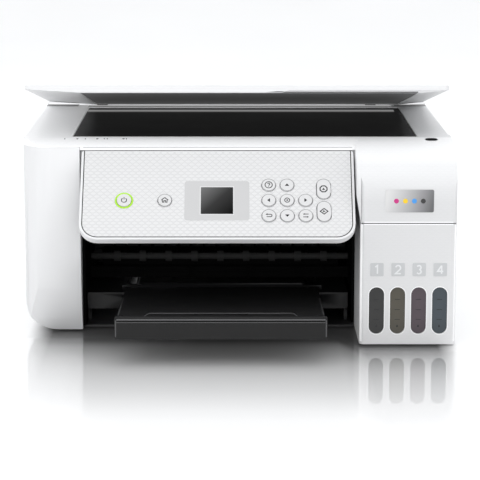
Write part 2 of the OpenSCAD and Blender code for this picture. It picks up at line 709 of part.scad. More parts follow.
module power_supply() {
    color([0.75, 0.76, 0.78]) place() union() {
        box([frame_x0 - 39, guide_y + 26, 36], [frame_x0, back_y - 12, pickup_z - 10]);
        // Mains inlet with its two pins
        difference() {
            box([ac_x - ac_w / 2 + 0.5, back_y - 13, ac_z + 0.5],
                [ac_x + ac_w / 2 - 0.5, back_y - 1, ac_z + ac_h - 0.5]);
            box([ac_x - 9, back_y - 11, ac_z + 5], [ac_x + 9, back_y, ac_z + ac_h - 5]);
        }
        for (s = [-1, 1]) rod_y(ac_x + s * 4.4, back_y - 11.5, back_y - 3, ac_z + ac_h / 2, 2.4);
    }
}
module main_board() {
    color([0.1, 0.4, 0.2]) place() union() {
        box([frame_x1 + 3, 70, 18], [frame_x1 + 4.6, back_y - 13, 122]);
        for (y = [76, 138], z = [24, 116]) rod_x(frame_x1, frame_x1 + 3.5, y, z, 6);
        // Data socket with its tongue
        difference() {
            box([usb_x - 6, back_y - 30, usb_z + 0.5], [usb_x + 6, back_y - 1, usb_z + 11.5]);
            box([usb_x - 4.2, back_y - 11, usb_z + 2], [usb_x + 4.2, back_y, usb_z + 10]);
        }
        box([usb_x - 2.6, back_y - 11.5, usb_z + 4.6], [usb_x + 2.6, back_y - 3, usb_z + 7.6]);
        for (z = [62, 80, 98]) box([frame_x1 + 4.6, 80, z], [frame_x1 + 12, 108, z + 9]);
    }
}

// ---- Rear feeder ----------------------------------------------------------------

// Hopper plane: local z up the slope, local y through the plate towards the back
module on_hopper() {
    translate([paper_cx, hopper_y, hopper_z]) rotate([-feeder_tilt, 0, 0]) children();
}
hopper_l = 98;
hopper_t = 3;
support_t = 2.6;
support_y = hopper_t + 0.9;
module feeder_hopper() {
    w = slot_w / 2;
    color(black) place() {
        on_hopper() difference() {
            union() {
                box([-w, 0, -hopper_l], [w, hopper_t, 0]);
                for (s = [-1, 1]) box([s * (w + channel_w / 2) - channel_w / 2 - 0.01, 0, -hopper_l],
                    [s * (w + channel_w / 2) + channel_w / 2, hopper_t + 6.6, -4]);
            }
            // Grooves that guide the paper support
            box([-w - 3, support_y - 0.3, -hopper_l - 1], [w + 3, support_y + support_t + 0.3, 1]);
            // Slots for the edge guides' feet
            for (s = [-1, 1]) box([s * (w - 38) - 35, -1, -41], [s * (w - 38) + 35, hopper_t - 0.6, -35]);
        }
        translate([paper_cx, 0, 0]) along_x(-w, w) polygon([[pickup_y + 8, 68], [pickup_y + 8, 72.5],
            [pickup_y, 68], [feed_y + 14, 57], [feed_y + 14, 54.5], [pickup_y, 65]]);
        for (x = [-90 : 30 : 90]) translate([paper_cx + x, 0, 0]) along_x(-1, 1)
            polygon([[pickup_y, 67], [pickup_y - 30, 66.4], [feed_y + 15, 58.4], [feed_y + 15, 55]]);
    }
}
module paper_support() {
    w = slot_w / 2 + 2.6;
    color(dark) place() on_hopper() difference() {
        box([-w, support_y, 2.2 - support_l], [w, support_y + support_t, 2.2]);
        // Recessed ribs on the face that carries the paper
        for (i = [-4 : 4]) box([i * 24 - 4, support_y - 1, -70], [i * 24 + 4, support_y + 0.8, -8]);
        box([-22, support_y - 1, -4], [22, support_y + 1.2, 3]);
    }
}
module edge_guide(s) {
    x = s * (slot_w / 2 - 9);
    color(dark) place() on_hopper() {
        box([x - 1.6, -9, -62], [x + 1.6, -0.4, -8]);
        box([min(x, x - s * 16), -3, -62], [max(x, x - s * 16), -0.4, -44]);
        box([x - 3, -0.5, -40], [x + 3, hopper_t - 1.2, -36]);
    }
}
module edge_guide_left() edge_guide(-1);
module edge_guide_right() edge_guide(1);

// ---- Control panel ----------------------------------------------------------------

face_t = 1.8;
seat_inset = 2.2;
// The panel's outline, set in by o at its sides and foot and by o_top at its top
module panel_slab(o, o_top, z0, z1) {
    w = panel_w / 2 - o;
    r0 = panel_corner_r - o;
    r1 = max(2.5 - o, 0.3);
    y1 = panel_len - o_top;
    translate([0, 0, z0]) linear_extrude(z1 - z0) polygon(concat(
        corner(w - r1, y1 - r1, r1, 0), corner(-w + r1, y1 - r1, r1, 90),
        corner(-w + r0, o + r0, r0, 180), corner(w - r0, o + r0, r0, 270)));
}
module panel_housing() {
    bx = panel_w / 2 - 12;
    color(white) place() on_panel() difference() {
        union() {
            panel_slab(0, 0, -rim_depth - 1.6, 0);
            box([-bx, back_box_y0, -back_box_d], [bx, back_box_y1, -rim_depth]);
        }
        panel_slab(seat_inset, -1, -face_t, 1);
        panel_slab(seat_inset + 3, seat_inset + 3, -rim_depth, 1);
        box([-bx + 2, back_box_y0 + 2, -back_box_d + 2], [bx - 2, back_box_y1 - 2, 0]);
    }
}
// The keys' columns share out the panel's width
power_x = -0.339 * panel_w;
home_x = -0.191 * panel_w;
col_x = [for (i = [0:2]) 0.1872 * panel_w + i * button_dx];
long_x = col_x[2] + button_dx - 0.1;
row_mid = 38.2;
row_y = [row_mid - button_dy, row_mid, row_mid + button_dy];
long_y = [row_mid - 11.1, row_mid + 11.2];
field_x = -0.3;
field_y = row_mid;
button_hole = button_d + 0.7;
module display_field(o, z0, z1) {
    w = display_field_w / 2 - o;
    h = display_field_h / 2 - o;
    translate([field_x, field_y, z0]) linear_extrude(z1 - z0) polygon(round_rect(-w, -h, w, h, field_r - o));
}
module panel_faceplate() {
    color(white) place() on_panel() difference() {
        panel_slab(seat_inset + 0.4, 0.3, -face_t, 0);
        for (x = col_x, y = row_y) if (!(x == col_x[2] && y == row_y[2]))
            translate([x, y, -5]) cylinder(d = button_hole, h = 10);
        translate([home_x, row_mid, -5]) cylinder(d = button_hole, h = 10);
        translate([power_x, row_mid, -5]) cylinder(d = ring_d + 0.3, h = 10);
        for (y = long_y) translate([long_x, y - long_button_l / 2 - 0.35, -5])
            linear_extrude(10) slot_shape(button_hole, long_button_l + 0.7);
        display_field(0, -1, 1);
        box([field_x - display_w / 2 - 1, field_y - display_h / 2 - 1, -5],
            [field_x + display_w / 2 + 1, field_y + display_h / 2 + 1, 1]);
    }
}
module lcd_window() {
    color([0.7, 0.72, 0.75]) place() on_panel() display_field(0.2, -1, 0.1);
}
power_d = ring_d - 3.4;
module power_ring() {
    color([0.5, 0.95, 0.2]) place() on_panel() translate([power_x, row_mid, 0]) difference() {
        translate([0, 0, -back_box_d + 8.6]) cylinder(d = ring_d, h = back_box_d - 8.6 + 0.3);
        translate([0, 0, -back_box_d]) cylinder(d = power_d + 0.7, h = 30);
    }
}
board_z = -back_box_d + 7;
module panel_board() {
    color([0.1, 0.35, 0.2]) place() on_panel() union() {
        w = panel_w / 2 - 17;
        box([-w, 12, board_z], [w, back_box_y1 - 4, board_z + 1.6]);
        for (x = [6 - w, w - 6], y = [16, back_box_y1 - 8]) translate([x, y, -back_box_d + 2])
            cylinder(d = 5, h = 5.5);
        box([field_x - 20, field_y - 16, board_z + 1.6], [field_x + 20, field_y + 16, -face_t - 0.4]);
        box([field_x - display_w / 2, field_y - display_h / 2, board_z + 1.6],
            [field_x + display_w / 2, field_y + display_h / 2, -1.2]);
    }
}
// Key cap with a flange behind the panel and a stem above its switch
module round_key(x, y, d) {
    place() on_panel() translate([x, y, 0]) {
        translate([0, 0, -3]) cylinder(d = d, h = 3 + button_proud);
        box([-d / 2 - 1.1, -2.6, -3], [d / 2 + 1.1, 2.6, -face_t - 0.4]);
        stem();
    }
}
module stem() {
    z0 = board_z + 1.6 + button_stroke + 0.4;
    translate([0, 0, z0]) cylinder(d = 5, h = -2.5 - z0);
}
module long_key(y) {
    place() on_panel() translate([long_x, y, 0]) {
        translate([0, -long_button_l / 2, -3]) linear_extrude(3 + button_proud)
            slot_shape(button_d, long_button_l);
        box([-button_d / 2 - 1.1, -2.6, -3], [button_d / 2 + 1.1, 2.6, -face_t - 0.4]);
        stem();
    }
}
module button_power() color(white) place() on_panel() translate([power_x, row_mid, 0]) {
    z0 = board_z + 1.6 + button_stroke + 0.4;
    translate([0, 0, z0]) cylinder(d = power_d, h = button_proud - z0);
}
module button_home() color(white) round_key(home_x, row_mid, button_d);
module button_help() color(white) round_key(col_x[0], row_y[2], button_d);
module button_up() color(white) round_key(col_x[1], row_y[2], button_d);
module button_left() color(white) round_key(col_x[0], row_y[1], button_d);
module button_ok() color(white) round_key(col_x[1], row_y[1], button_d);
module button_right() color(white) round_key(col_x[2], row_y[1], button_d);
module button_back() color(white) round_key(col_x[0], row_y[0], button_d);
module button_down() color(white) round_key(col_x[1], row_y[0], button_d);
module button_swap() color(white) round_key(col_x[2], row_y[0], button_d);
module button_stop() color(white) long_key(long_y[1]);
module button_start() color(white) long_key(long_y[0]);

// ---- Scanner ------------------------------------------------------------------------

border_r = (border_depth * border_depth + border_drop * border_drop) / (2 * border_drop);
border_a = asin(border_depth / border_r);
border_cy = front_y + border_depth;
glass_x = 7;
glass_y0 = border_cy + glass_gap;
glass_sink = 0.8;
lid_axis_y = deck_rear_y - 12;
lid_axis_z = deck_z + 0.2 + lid_t / 2;
post_x = lid_w / 2 - 52;
post_w = 10;
post_d = 6;
lid_pin_d = 3;
pan_top = deck_z - wall - 1.5;
pan_wall = 2.2;
pan_x = right_x - 6.5;
pan_y0 = glass_y0 - 8;
pan_y1 = lid_axis_y + post_d / 2 + 2.7;
scan_rod_z = pan_z + 8.4;

// The deck's side view with its curved front border, set in by o
module border_profile(o, z0) {
    end_a = asin((border_depth - o) / (border_r - o));
    polygon(concat([[deck_rear_y - o, z0], [deck_rear_y - o, deck_z - o]],
        arc(border_cy, deck_z - border_r, border_r - o, border_r - o, 90, 90 + end_a, 12),
        o > 0 ? [[front_y + o, z0]] : []));
}
module fall_profile(o, z0) {
    ey = tower_y + fall_len;
    polygon(concat([[tower_back_y - o, z0], [tower_back_y - o, deck_z - o]],
        arc(ey, deck_z - fall_h, fall_len - o, fall_h - o, 90, 180, 26), [[tower_y + o, z0]]));
}
module deck_volume(o, z0) {
    intersection() {
        along_x(-right_x - 1, right_x + 1) border_profile(o, z0);
        translate([0, 0, z0]) linear_extrude(deck_z) polygon(concat(
            arc(-right_x + corner_rx, front_y + corner_ry, corner_rx - o, corner_ry - o, 180, 270, 24),
            [[right_x - o, front_y + o], [right_x - o, deck_rear_y - o], [-right_x + o, deck_rear_y - o]]));
        along_y(tower_y - 1, back_y) polygon(concat([[-right_x + o, z0], [right_x - o, z0]],
            corner(right_x - 2.5, deck_z - 2.5, 2.5 - o * 0.9, 0),
            corner(-right_x + 2.5, deck_z - 2.5, 2.5 - o * 0.9, 90)));
    }
}
module hood_volume(o, z0) {
    intersection() {
        along_x(tower_x, right_x) fall_profile(o, z0);
        translate([0, 0, z0]) linear_extrude(deck_z) tower_plan(o, tower_back_y);
    }
}
module glass_frame(grow, z0, z1) {
    box([glass_x - glass_w / 2 - grow, glass_y0 - grow, z0],
        [glass_x + glass_w / 2 + grow, glass_y0 + glass_d + grow, z1]);
}
glass_z = deck_z - glass_sink - glass_t;
module scanner_deck() {
    hood_z = seam_z + seam_gap / 2;
    color(white) place() difference() {
        union() {
            difference() {
                deck_volume(0, split_z);
                deck_volume(wall, split_z - 1);
            }
            // Lip above the control panel
            difference() {
                box([pillar_x + seam_gap, front_y, skirt_z], [tower_x + 1, front_y + wall, split_z + 2.5]);
                along_x(pillar_x, tower_x + 2) translate([front_y, 0]) polygon([[-1, split_z],
                    [0, split_z], [wall + 1, split_z + (wall + 1) * tan(border_a)], [-1, split_z + 9]]);
            }
            difference() {
                hood_volume(0, hood_z);
                hood_volume(wall, hood_z - 1);
                // Room for the scanner's lower case
                box([tower_x - 1, pan_y0 - 0.6, pan_z - 0.6],
                    [right_x - wall, tower_back_y + 1, pan_top + 0.5]);
            }
            // The hood's inner side
            intersection() {
                along_y(tower_y - 1, front_y + wall) polygon([
                    [tower_x + 0.5, hood_z + 3], [tower_x, hood_z + 3], [tower_x - hood_lean, hood_z + 22],
                    [tower_x - hood_lean, deck_z + 1], [tower_x + 0.5, deck_z + 1]]);
                along_x(tower_x - hood_lean - 1, tower_x + 1) fall_profile(0, hood_z);
            }
            difference() {
                glass_frame(5, glass_z - 2, deck_z - 1);
                glass_frame(-4, glass_z - 3, deck_z + 1);
            }
        }
        glass_frame(0, glass_z, deck_z + 1);
        glass_frame(-4, glass_z - 3, deck_z + 1);
        for (s = [-1, 1]) box([s * post_x - post_w / 2 - 0.6, lid_axis_y - post_d / 2 - 0.6, split_z],
            [s * post_x + post_w / 2 + 0.6, lid_axis_y + post_d / 2 + 0.6, deck_z + 1]);
        // Slot at the hood's right edge
        translate([right_x - 19.5, front_y + 4.5, deck_z - 2.5]) linear_extrude(4)
            polygon(round_rect(-5.2, -1.2, 5.2, 1.2, 1.1));
    }
}
module pan_outline(o) {
    c = right_x - pan_x + o;
    intersection() {
        polygon([[-pan_x + o, pan_y0 + o], [pan_x - o, pan_y0 + o], [pan_x - o, pan_y1 - o],
                 [-pan_x + o, pan_y1 - o]]);
        polygon(concat(
            arc(-right_x + corner_rx, front_y + corner_ry, corner_rx - c, corner_ry - c, 180, 270, 24),
            [[right_x, front_y + c], [right_x, back_y], [-right_x + c, back_y]]));
    }
}
module scanner_pan() {
    color(white) place() difference() {
        union() {
            difference() {
                translate([0, 0, pan_z]) linear_extrude(pan_top - pan_z) pan_outline(0);
                translate([0, 0, pan_z + 2]) linear_extrude(pan_top) pan_outline(pan_wall);
            }
            mirror_x() {
                rod_x(hinge_x - knuckle_w / 2, hinge_x + knuckle_w / 2, hinge_y, hinge_z, hinge_pin_d + 6);
                box([hinge_x - knuckle_w / 2, pan_y1 - 1, hinge_z - 5],
                    [hinge_x + knuckle_w / 2, hinge_y, hinge_z + 5]);
            }
            for (x = [-pan_x + pan_wall + 4, pan_x - pan_wall - 4])
                box([x - 4, -8, pan_z + 1], [x + 4, 8, scan_rod_z + 6]);
        }
        mirror_x() rod_x(hinge_x - knuckle_w / 2 - 1, hinge_x + knuckle_w / 2 + 1, hinge_y, hinge_z,
            hinge_pin_d + 2 * bore_gap);
        rod_x(-pan_x + pan_wall, pan_x - pan_wall, 0, scan_rod_z, scan_rod_d);
    }
}
module platen_glass() {
    color([0.1, 0.11, 0.12]) place() glass_frame(-glass_gap, glass_z, glass_z + glass_t);
}
bar_w = 18;
bar_x = glass_x - glass_w / 2 - bar_w - 8;
bar_top = glass_z - 2.4;
module scan_rail() {
    by = 22;
    bz = pan_z + 8;
    color(steel) place() {
        rod_x(-pan_x + pan_wall, pan_x - pan_wall, 0, scan_rod_z, scan_rod_d - 2 * eps);
        translate([0, by, bz - 2]) linear_extrude(4) belt_ring(-pan_x + 12, pan_x - 12, 6, 5.4);
        for (x = [-pan_x + 12, pan_x - 12]) translate([x, by, pan_z + 2]) cylinder(d = 10.4, h = 9);
        translate([-pan_x + 18, by + 24, pan_z + 2]) cylinder(d = 24, h = 5);
    }
}
module scan_bar() {
    color(black) place() difference() {
        union() {
            box([bar_x, glass_y0 + 1, pan_z + 16], [bar_x + bar_w, glass_y0 + glass_d - 1, bar_top]);
            box([bar_x, -9, pan_z + 3], [bar_x + bar_w, 9, pan_z + 17]);
        }
        rod_x(bar_x - 1, bar_x + bar_w + 1, 0, scan_rod_z, scan_rod_d + 2 * bore_gap);
        box([bar_x + 6, glass_y0 + 4, bar_top - 1.2], [bar_x + 12, glass_y0 + glass_d - 4, bar_top + 1]);
    }
}

// ---- Lid ------------------------------------------------------------------------------

lid_front_y = front_y + 5.5;
lid_z0 = deck_z + 0.2;
lid_z1 = lid_z0 + lid_t;
pad_x0 = glass_x - glass_w / 2 + 7.4;
pad_x1 = glass_x + glass_w / 2;
pad_y0 = glass_y0 - 5.5;
pad_y1 = glass_y0 + glass_d + 5.5;
pad_t = lid_t - 2.4;
finger_x = 34;
module lid_place() {
    place() translate([0, lid_axis_y, lid_axis_z]) rotate([-lid_open, 0, 0])
        translate([0, -lid_axis_y, -lid_axis_z]) children();
}
module lid_cover() {
    w = lid_w / 2;
    color(white) lid_place() difference() {
        intersection() {
            translate([0, 0, lid_z0 - 1]) linear_extrude(lid_t + 2)
                polygon(concat([[w, lid_axis_y + 9], [-w, lid_axis_y + 9]],
                    corner(-w + lid_corner_r, lid_front_y + lid_corner_r, lid_corner_r, 180),
                    corner(w - lid_corner_r, lid_front_y + lid_corner_r, lid_corner_r, 270)));
            along_x(-w, w) polygon(concat([[lid_front_y, lid_z0], [lid_axis_y, lid_z0]],
                arc(lid_axis_y, lid_axis_z, lid_t / 2, lid_t / 2, -90, 90, 10),
                corner(lid_front_y + 1.2, lid_z1 - 1.2, 1.2, 90)));
            // The underside slants up towards both sides
            along_y(lid_front_y - 1, lid_axis_y + 9) polygon(concat(
                [[pad_x0 - 1, lid_z0], [pad_x1 + 1, lid_z0], [w, lid_z0 + 2.6]],
                corner(w - 1.2, lid_z1 - 1.2, 1.2, 0), corner(-w + 1.2, lid_z1 - 1.2, 1.2, 90),
                [[-w, lid_z0 + 3]]));
        }
        box([pad_x0, pad_y0, lid_z0 - 1], [pad_x1, pad_y1, lid_z0 + pad_t]);
        // Finger grip along the right half of the front edge
        along_y(lid_front_y - 1, lid_front_y + 7) polygon([[finger_x, lid_z0 - 1],
            [finger_x + 12, lid_z0 + 2], [w + 1, lid_z0 + 2], [w + 1, lid_z0 - 1]]);
        for (s = [-1, 1]) {
            box([s * post_x - post_w / 2 - 0.6, lid_axis_y - 6.5, lid_z0 - 1],
                [s * post_x + post_w / 2 + 0.6, lid_axis_y + 9, lid_z1 + 1]);
            rod_x(s * post_x - 14, s * post_x + 14, lid_axis_y, lid_axis_z, lid_pin_d + 2 * bore_gap);
        }
    }
}
module lid_pad() {
    color([0.24, 0.24, 0.25]) lid_place() box([pad_x0 + 0.3, pad_y0 + 0.3, lid_z0 + 0.1],
        [pad_x1 - 0.3, pad_y1 - 0.3, lid_z0 + pad_t - 0.1]);
}
module lid_hinges() {
    color(dark) place() for (s = [-1, 1]) {
        box([s * post_x - post_w / 2, lid_axis_y - post_d / 2, pan_z + 2],
            [s * post_x + post_w / 2, lid_axis_y + post_d / 2, lid_axis_z]);
        rod_x(s * post_x - post_w / 2, s * post_x + post_w / 2, lid_axis_y, lid_axis_z, post_d);
        rod_x(s * post_x - 13, s * post_x + 13, lid_axis_y, lid_axis_z, lid_pin_d);
    }
}

// ---- Paper tray -------------------------------------------------------------------------

tray_cx = paper_cx + 2.6;
tray_w = tray_front_w - 3.8;
tray_t = 2.5;
skirt_h = 10;
bezel_t = 4;
runner = 2;
base_x0 = in_x0 + 0.4;
base_x1 = in_x1 - 3;
base_y0 = tower_y + 80;
base_y1 = tray_y + tray_len + tray_travel + 7.5;
base_top = 30.6;
channel_wall = 5;
bar_y = 160;
// Tray plane: local y from the tray's front to its back, local z out of its top
module on_tray() {
    translate([tray_cx, tray_y, tray_front_z]) rotate([-tray_slope, 0, 0]) children();
}
module output_tray() {
    w = tray_w / 2;
    fw = tray_front_w / 2;
    pw = stopper_w / 2 + 0.4;
    color(dark) place() on_tray() difference() {
        union() {
            intersection() {
                along_y(0, bezel_t) polygon(round_rect(-fw, -tray_front_h, fw, 0, 1.5));
                along_x(-fw - 1, fw + 1) polygon(concat([[0, -tray_front_h - 1], [bezel_t, -tray_front_h - 1],
                    [bezel_t, 0]], corner(2.3, -2.3, 2.3, 90)));
            }
            box([-w, 0, -tray_t], [w, tray_len, 0]);
            box([-pw - 3, bezel_t - 1, -5.4], [pw + 3, stopper_l + 7, -tray_t + 1]);
            for (s = [-1, 1]) {
                box([s * (w - 1.25) - 1.25, bezel_t - 1, -skirt_h], [s * (w - 1.25) + 1.25, tray_len, -1]);
                box([s * (w + runner / 2) - runner / 2 - 0.01, 110, -8],
                    [s * (w + runner / 2) + runner / 2, tray_len, -6]);
            }
            for (y = [50 : 34 : tray_len - 5]) box([-w + 1, y, -7], [w - 1, y + 1.6, -1]);
        }
        translate([0, 0, -3.8]) linear_extrude(5) stopper_plan(0.4, bezel_t - 2);
        for (s = [-1, 1]) {
            rod_x(s * (pw + 1) - 1.5, s * (pw + 1) + 1.5, stopper_axis_y, stopper_axis_z, 2 + 2 * bore_gap);
            // Notches beside the front
            box([s * (w - 3.5) - 1.8, bezel_t + 0.4, -1.3], [s * (w - 3.5) + 1.8, bezel_t + 2.8, 1]);
        }
    }
}
stopper_axis_y = 4;
stopper_axis_z = -1.9;
stopper_end_y = stopper_axis_y + stopper_l - 2;
// The stopper's outline with its slanting sides, grown by o, from y0 on
module stopper_plan(o, y0) {
    w = stopper_w / 2 + o;
    y1 = stopper_end_y + o;
    polygon([[-w, y0], [w, y0], [w, stopper_axis_y], [w - 4, y1], [4 - w, y1], [-w, stopper_axis_y]]);
}
module paper_stopper() {
    w = stopper_w / 2;
    color(dark) place() on_tray() difference() {
        union() {
            translate([0, 0, stopper_axis_z - 1.5]) linear_extrude(3) stopper_plan(0, stopper_axis_y - 0.5);
            rod_x(-w, w, stopper_axis_y, stopper_axis_z, 3);
            rod_x(-w - 1.8, w + 1.8, stopper_axis_y, stopper_axis_z, 2);
        }
        // Grip recess
        box([-22.4, stopper_end_y - 8, stopper_axis_z - 0.5], [22.4, stopper_end_y - 2, 1]);
    }
}
module tray_base() {
    xl = tray_cx - tray_w / 2 - slide_gap;
    xr = tray_cx + tray_w / 2 + slide_gap;
    y1 = base_y0 + 70;
    // Bar over the tray's far end with its lower shoulders
    color(dark) place() on_tray() {
        end_x = tray_w / 2 + slide_gap;
        box([-end_x - 3, bar_y, 0.6], [end_x + 3, bar_y + 3, 2.2]);
        box([14 - end_x, bar_y, 0.6], [end_x - 14, bar_y + 3, 4.2]);
        for (s = [-1, 1]) translate([s * (end_x + 1.5), bar_y, 0]) box([-1.5, 0, -4], [1.5, 3, 2.2]);
    }
    color(dark) place() difference() {
        union() {
            for (b = [[base_x0, xl], [xr, base_x1]]) {
                along_y(base_y0, base_y0 + wall)
                    polygon(round_rect(b[0], base_top - base_front_h, b[1], base_top, 1.5));
                box([b[0], base_y0, base_top - wall], [b[1], y1, base_top]);
            }
            box([xl - channel_wall, base_y0 + 8, floor_z], [xl, base_y1, base_top]);
            box([xr, base_y0 + 8, floor_z], [xr + channel_wall, base_y1, base_top]);
            box([base_x0, base_y0 + 8, floor_z], [base_x0 + 3, y1, base_top]);
            box([base_x1 - 3, base_y0 + 8, floor_z], [base_x1, y1, base_top]);
            // Sloping rails under the tray's sides
            on_tray() for (s = [-1, 1]) box([s * (tray_w / 2 - 1) - 4, base_y0 - tray_y + 8, -skirt_h - 3.4],
                [s * (tray_w / 2 - 1) + 4, base_y1 - tray_y - 4, -skirt_h - slide_gap]);
        }
        on_tray() for (s = [-1, 1]) box([s * (tray_w / 2 + 1.5) - 1.5, base_y0 - tray_y - 20, -8 - slide_gap],
            [s * (tray_w / 2 + 1.5) + 1.2, base_y1 - tray_y + 20, -6 + slide_gap]);
        on_tray() for (s = [-1, 1]) box([s * (tray_w / 2 - 10) - 10 - (s < 0 ? slide_gap : 0), 0, -skirt_h],
            [s * (tray_w / 2 - 10) + 10 + (s > 0 ? slide_gap : 0), 400, 10]);
    }
}

bottom_case();
rubber_feet();
left_side_cover();
right_side_cover();
tank_front_cover();
ink_tank_black();
ink_tank_yellow();
ink_tank_magenta();
ink_tank_cyan();
tank_cap_black();
tank_cap_yellow();
tank_cap_magenta();
tank_cap_cyan();
rear_cover();
inner_frame();
carriage_guide();
carriage();
drive_motors();
platen();
feed_roller();
idler_gear();
exit_roller();
pickup_roller();
capping_station();
waste_ink_pad();
ink_tubes();
power_supply();
main_board();
feeder_hopper();
paper_support();
edge_guide_left();
edge_guide_right();
panel_housing();
panel_faceplate();
lcd_window();
power_ring();
panel_board();
button_power();
button_home();
button_help();
button_up();
button_left();
button_ok();
button_right();
button_back();
button_down();
button_swap();
button_stop();
button_start();
scanner_deck();
scanner_pan();
platen_glass();
scan_rail();
scan_bar();
lid_cover();
lid_pad();
lid_hinges();
tray_base();
output_tray();
paper_stopper();
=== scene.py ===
"""Looks of the ink tank printer: materials, small printed and raised details, light and camera."""
import json
import math

import bmesh
import bpy
from mathutils import Matrix, Vector


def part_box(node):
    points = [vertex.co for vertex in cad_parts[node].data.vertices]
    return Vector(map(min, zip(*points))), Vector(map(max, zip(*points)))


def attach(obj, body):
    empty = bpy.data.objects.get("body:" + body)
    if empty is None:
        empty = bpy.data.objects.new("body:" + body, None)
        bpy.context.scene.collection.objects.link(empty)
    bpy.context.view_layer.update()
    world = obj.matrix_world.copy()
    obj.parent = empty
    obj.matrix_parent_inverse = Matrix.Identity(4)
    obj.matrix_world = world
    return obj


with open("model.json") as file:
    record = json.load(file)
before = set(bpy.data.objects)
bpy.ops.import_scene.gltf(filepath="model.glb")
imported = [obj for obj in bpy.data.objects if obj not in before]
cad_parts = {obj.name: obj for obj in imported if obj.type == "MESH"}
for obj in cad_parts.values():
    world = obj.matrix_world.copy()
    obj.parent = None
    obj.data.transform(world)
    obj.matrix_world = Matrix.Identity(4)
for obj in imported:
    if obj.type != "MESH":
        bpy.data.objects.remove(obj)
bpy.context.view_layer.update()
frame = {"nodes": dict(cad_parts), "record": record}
scene = bpy.context.scene
scene.view_settings.view_transform = "Standard"

MM = 0.001
# The printer's own origin lies this far behind the shared frame's, in metres along +Y
FRAME_DY = 35.7306 * MM
BACK = Vector((0, FRAME_DY, 0))

# ---- Places -----------------------------------------------------------------------


def own_box(node):
    """A CAD node's box in millimetres of the printer's own frame."""
    low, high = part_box(node)
    return (low - BACK) / MM, (high - BACK) / MM


def level(x, y, z):
    """A level plane at a point in millimetres of the printer's own frame."""
    return Matrix.Translation(Vector((x, y, z)) * MM + BACK)


def turned(degrees):
    """A turn about a line from left to right, which lifts a plane's far side."""
    return Matrix.Rotation(math.radians(degrees), 4, "X")


def upright(x, y, z):
    """A plane facing the front at a point in millimetres of the printer's own frame."""
    return level(x, y, z) @ turned(90)


# The control panel's plane leans back from the middle of its foot
PANEL_TURN = turned(50)
PANEL_X = -16.8
PANEL = level(PANEL_X, -188.37, 95.78) @ PANEL_TURN


def panel_middle(node):
    """The middle of a CAD node on the panel's plane, in millimetres."""
    place = PANEL.inverted() @ frame["nodes"][node].matrix_world
    spots = [place @ vertex.co / MM for vertex in frame["nodes"][node].data.vertices]
    return [(min(p[k] for p in spots) + max(p[k] for p in spots)) / 2 for k in (0, 1)]


TOWER_LOW, TOWER_HIGH = own_box("tank_front_cover")
DECK_LOW, DECK_HIGH = own_box("scanner_deck")
COVER_LOW, COVER_HIGH = own_box("left_side_cover")
# The tower and the hood over it share their front, as the left cover and the deck over it do
TOWER_Y = DECK_LOW.y
FRONT_Y = COVER_LOW.y
DECK_Z = DECK_HIGH.z

# ---- Shaders ----------------------------------------------------------------------


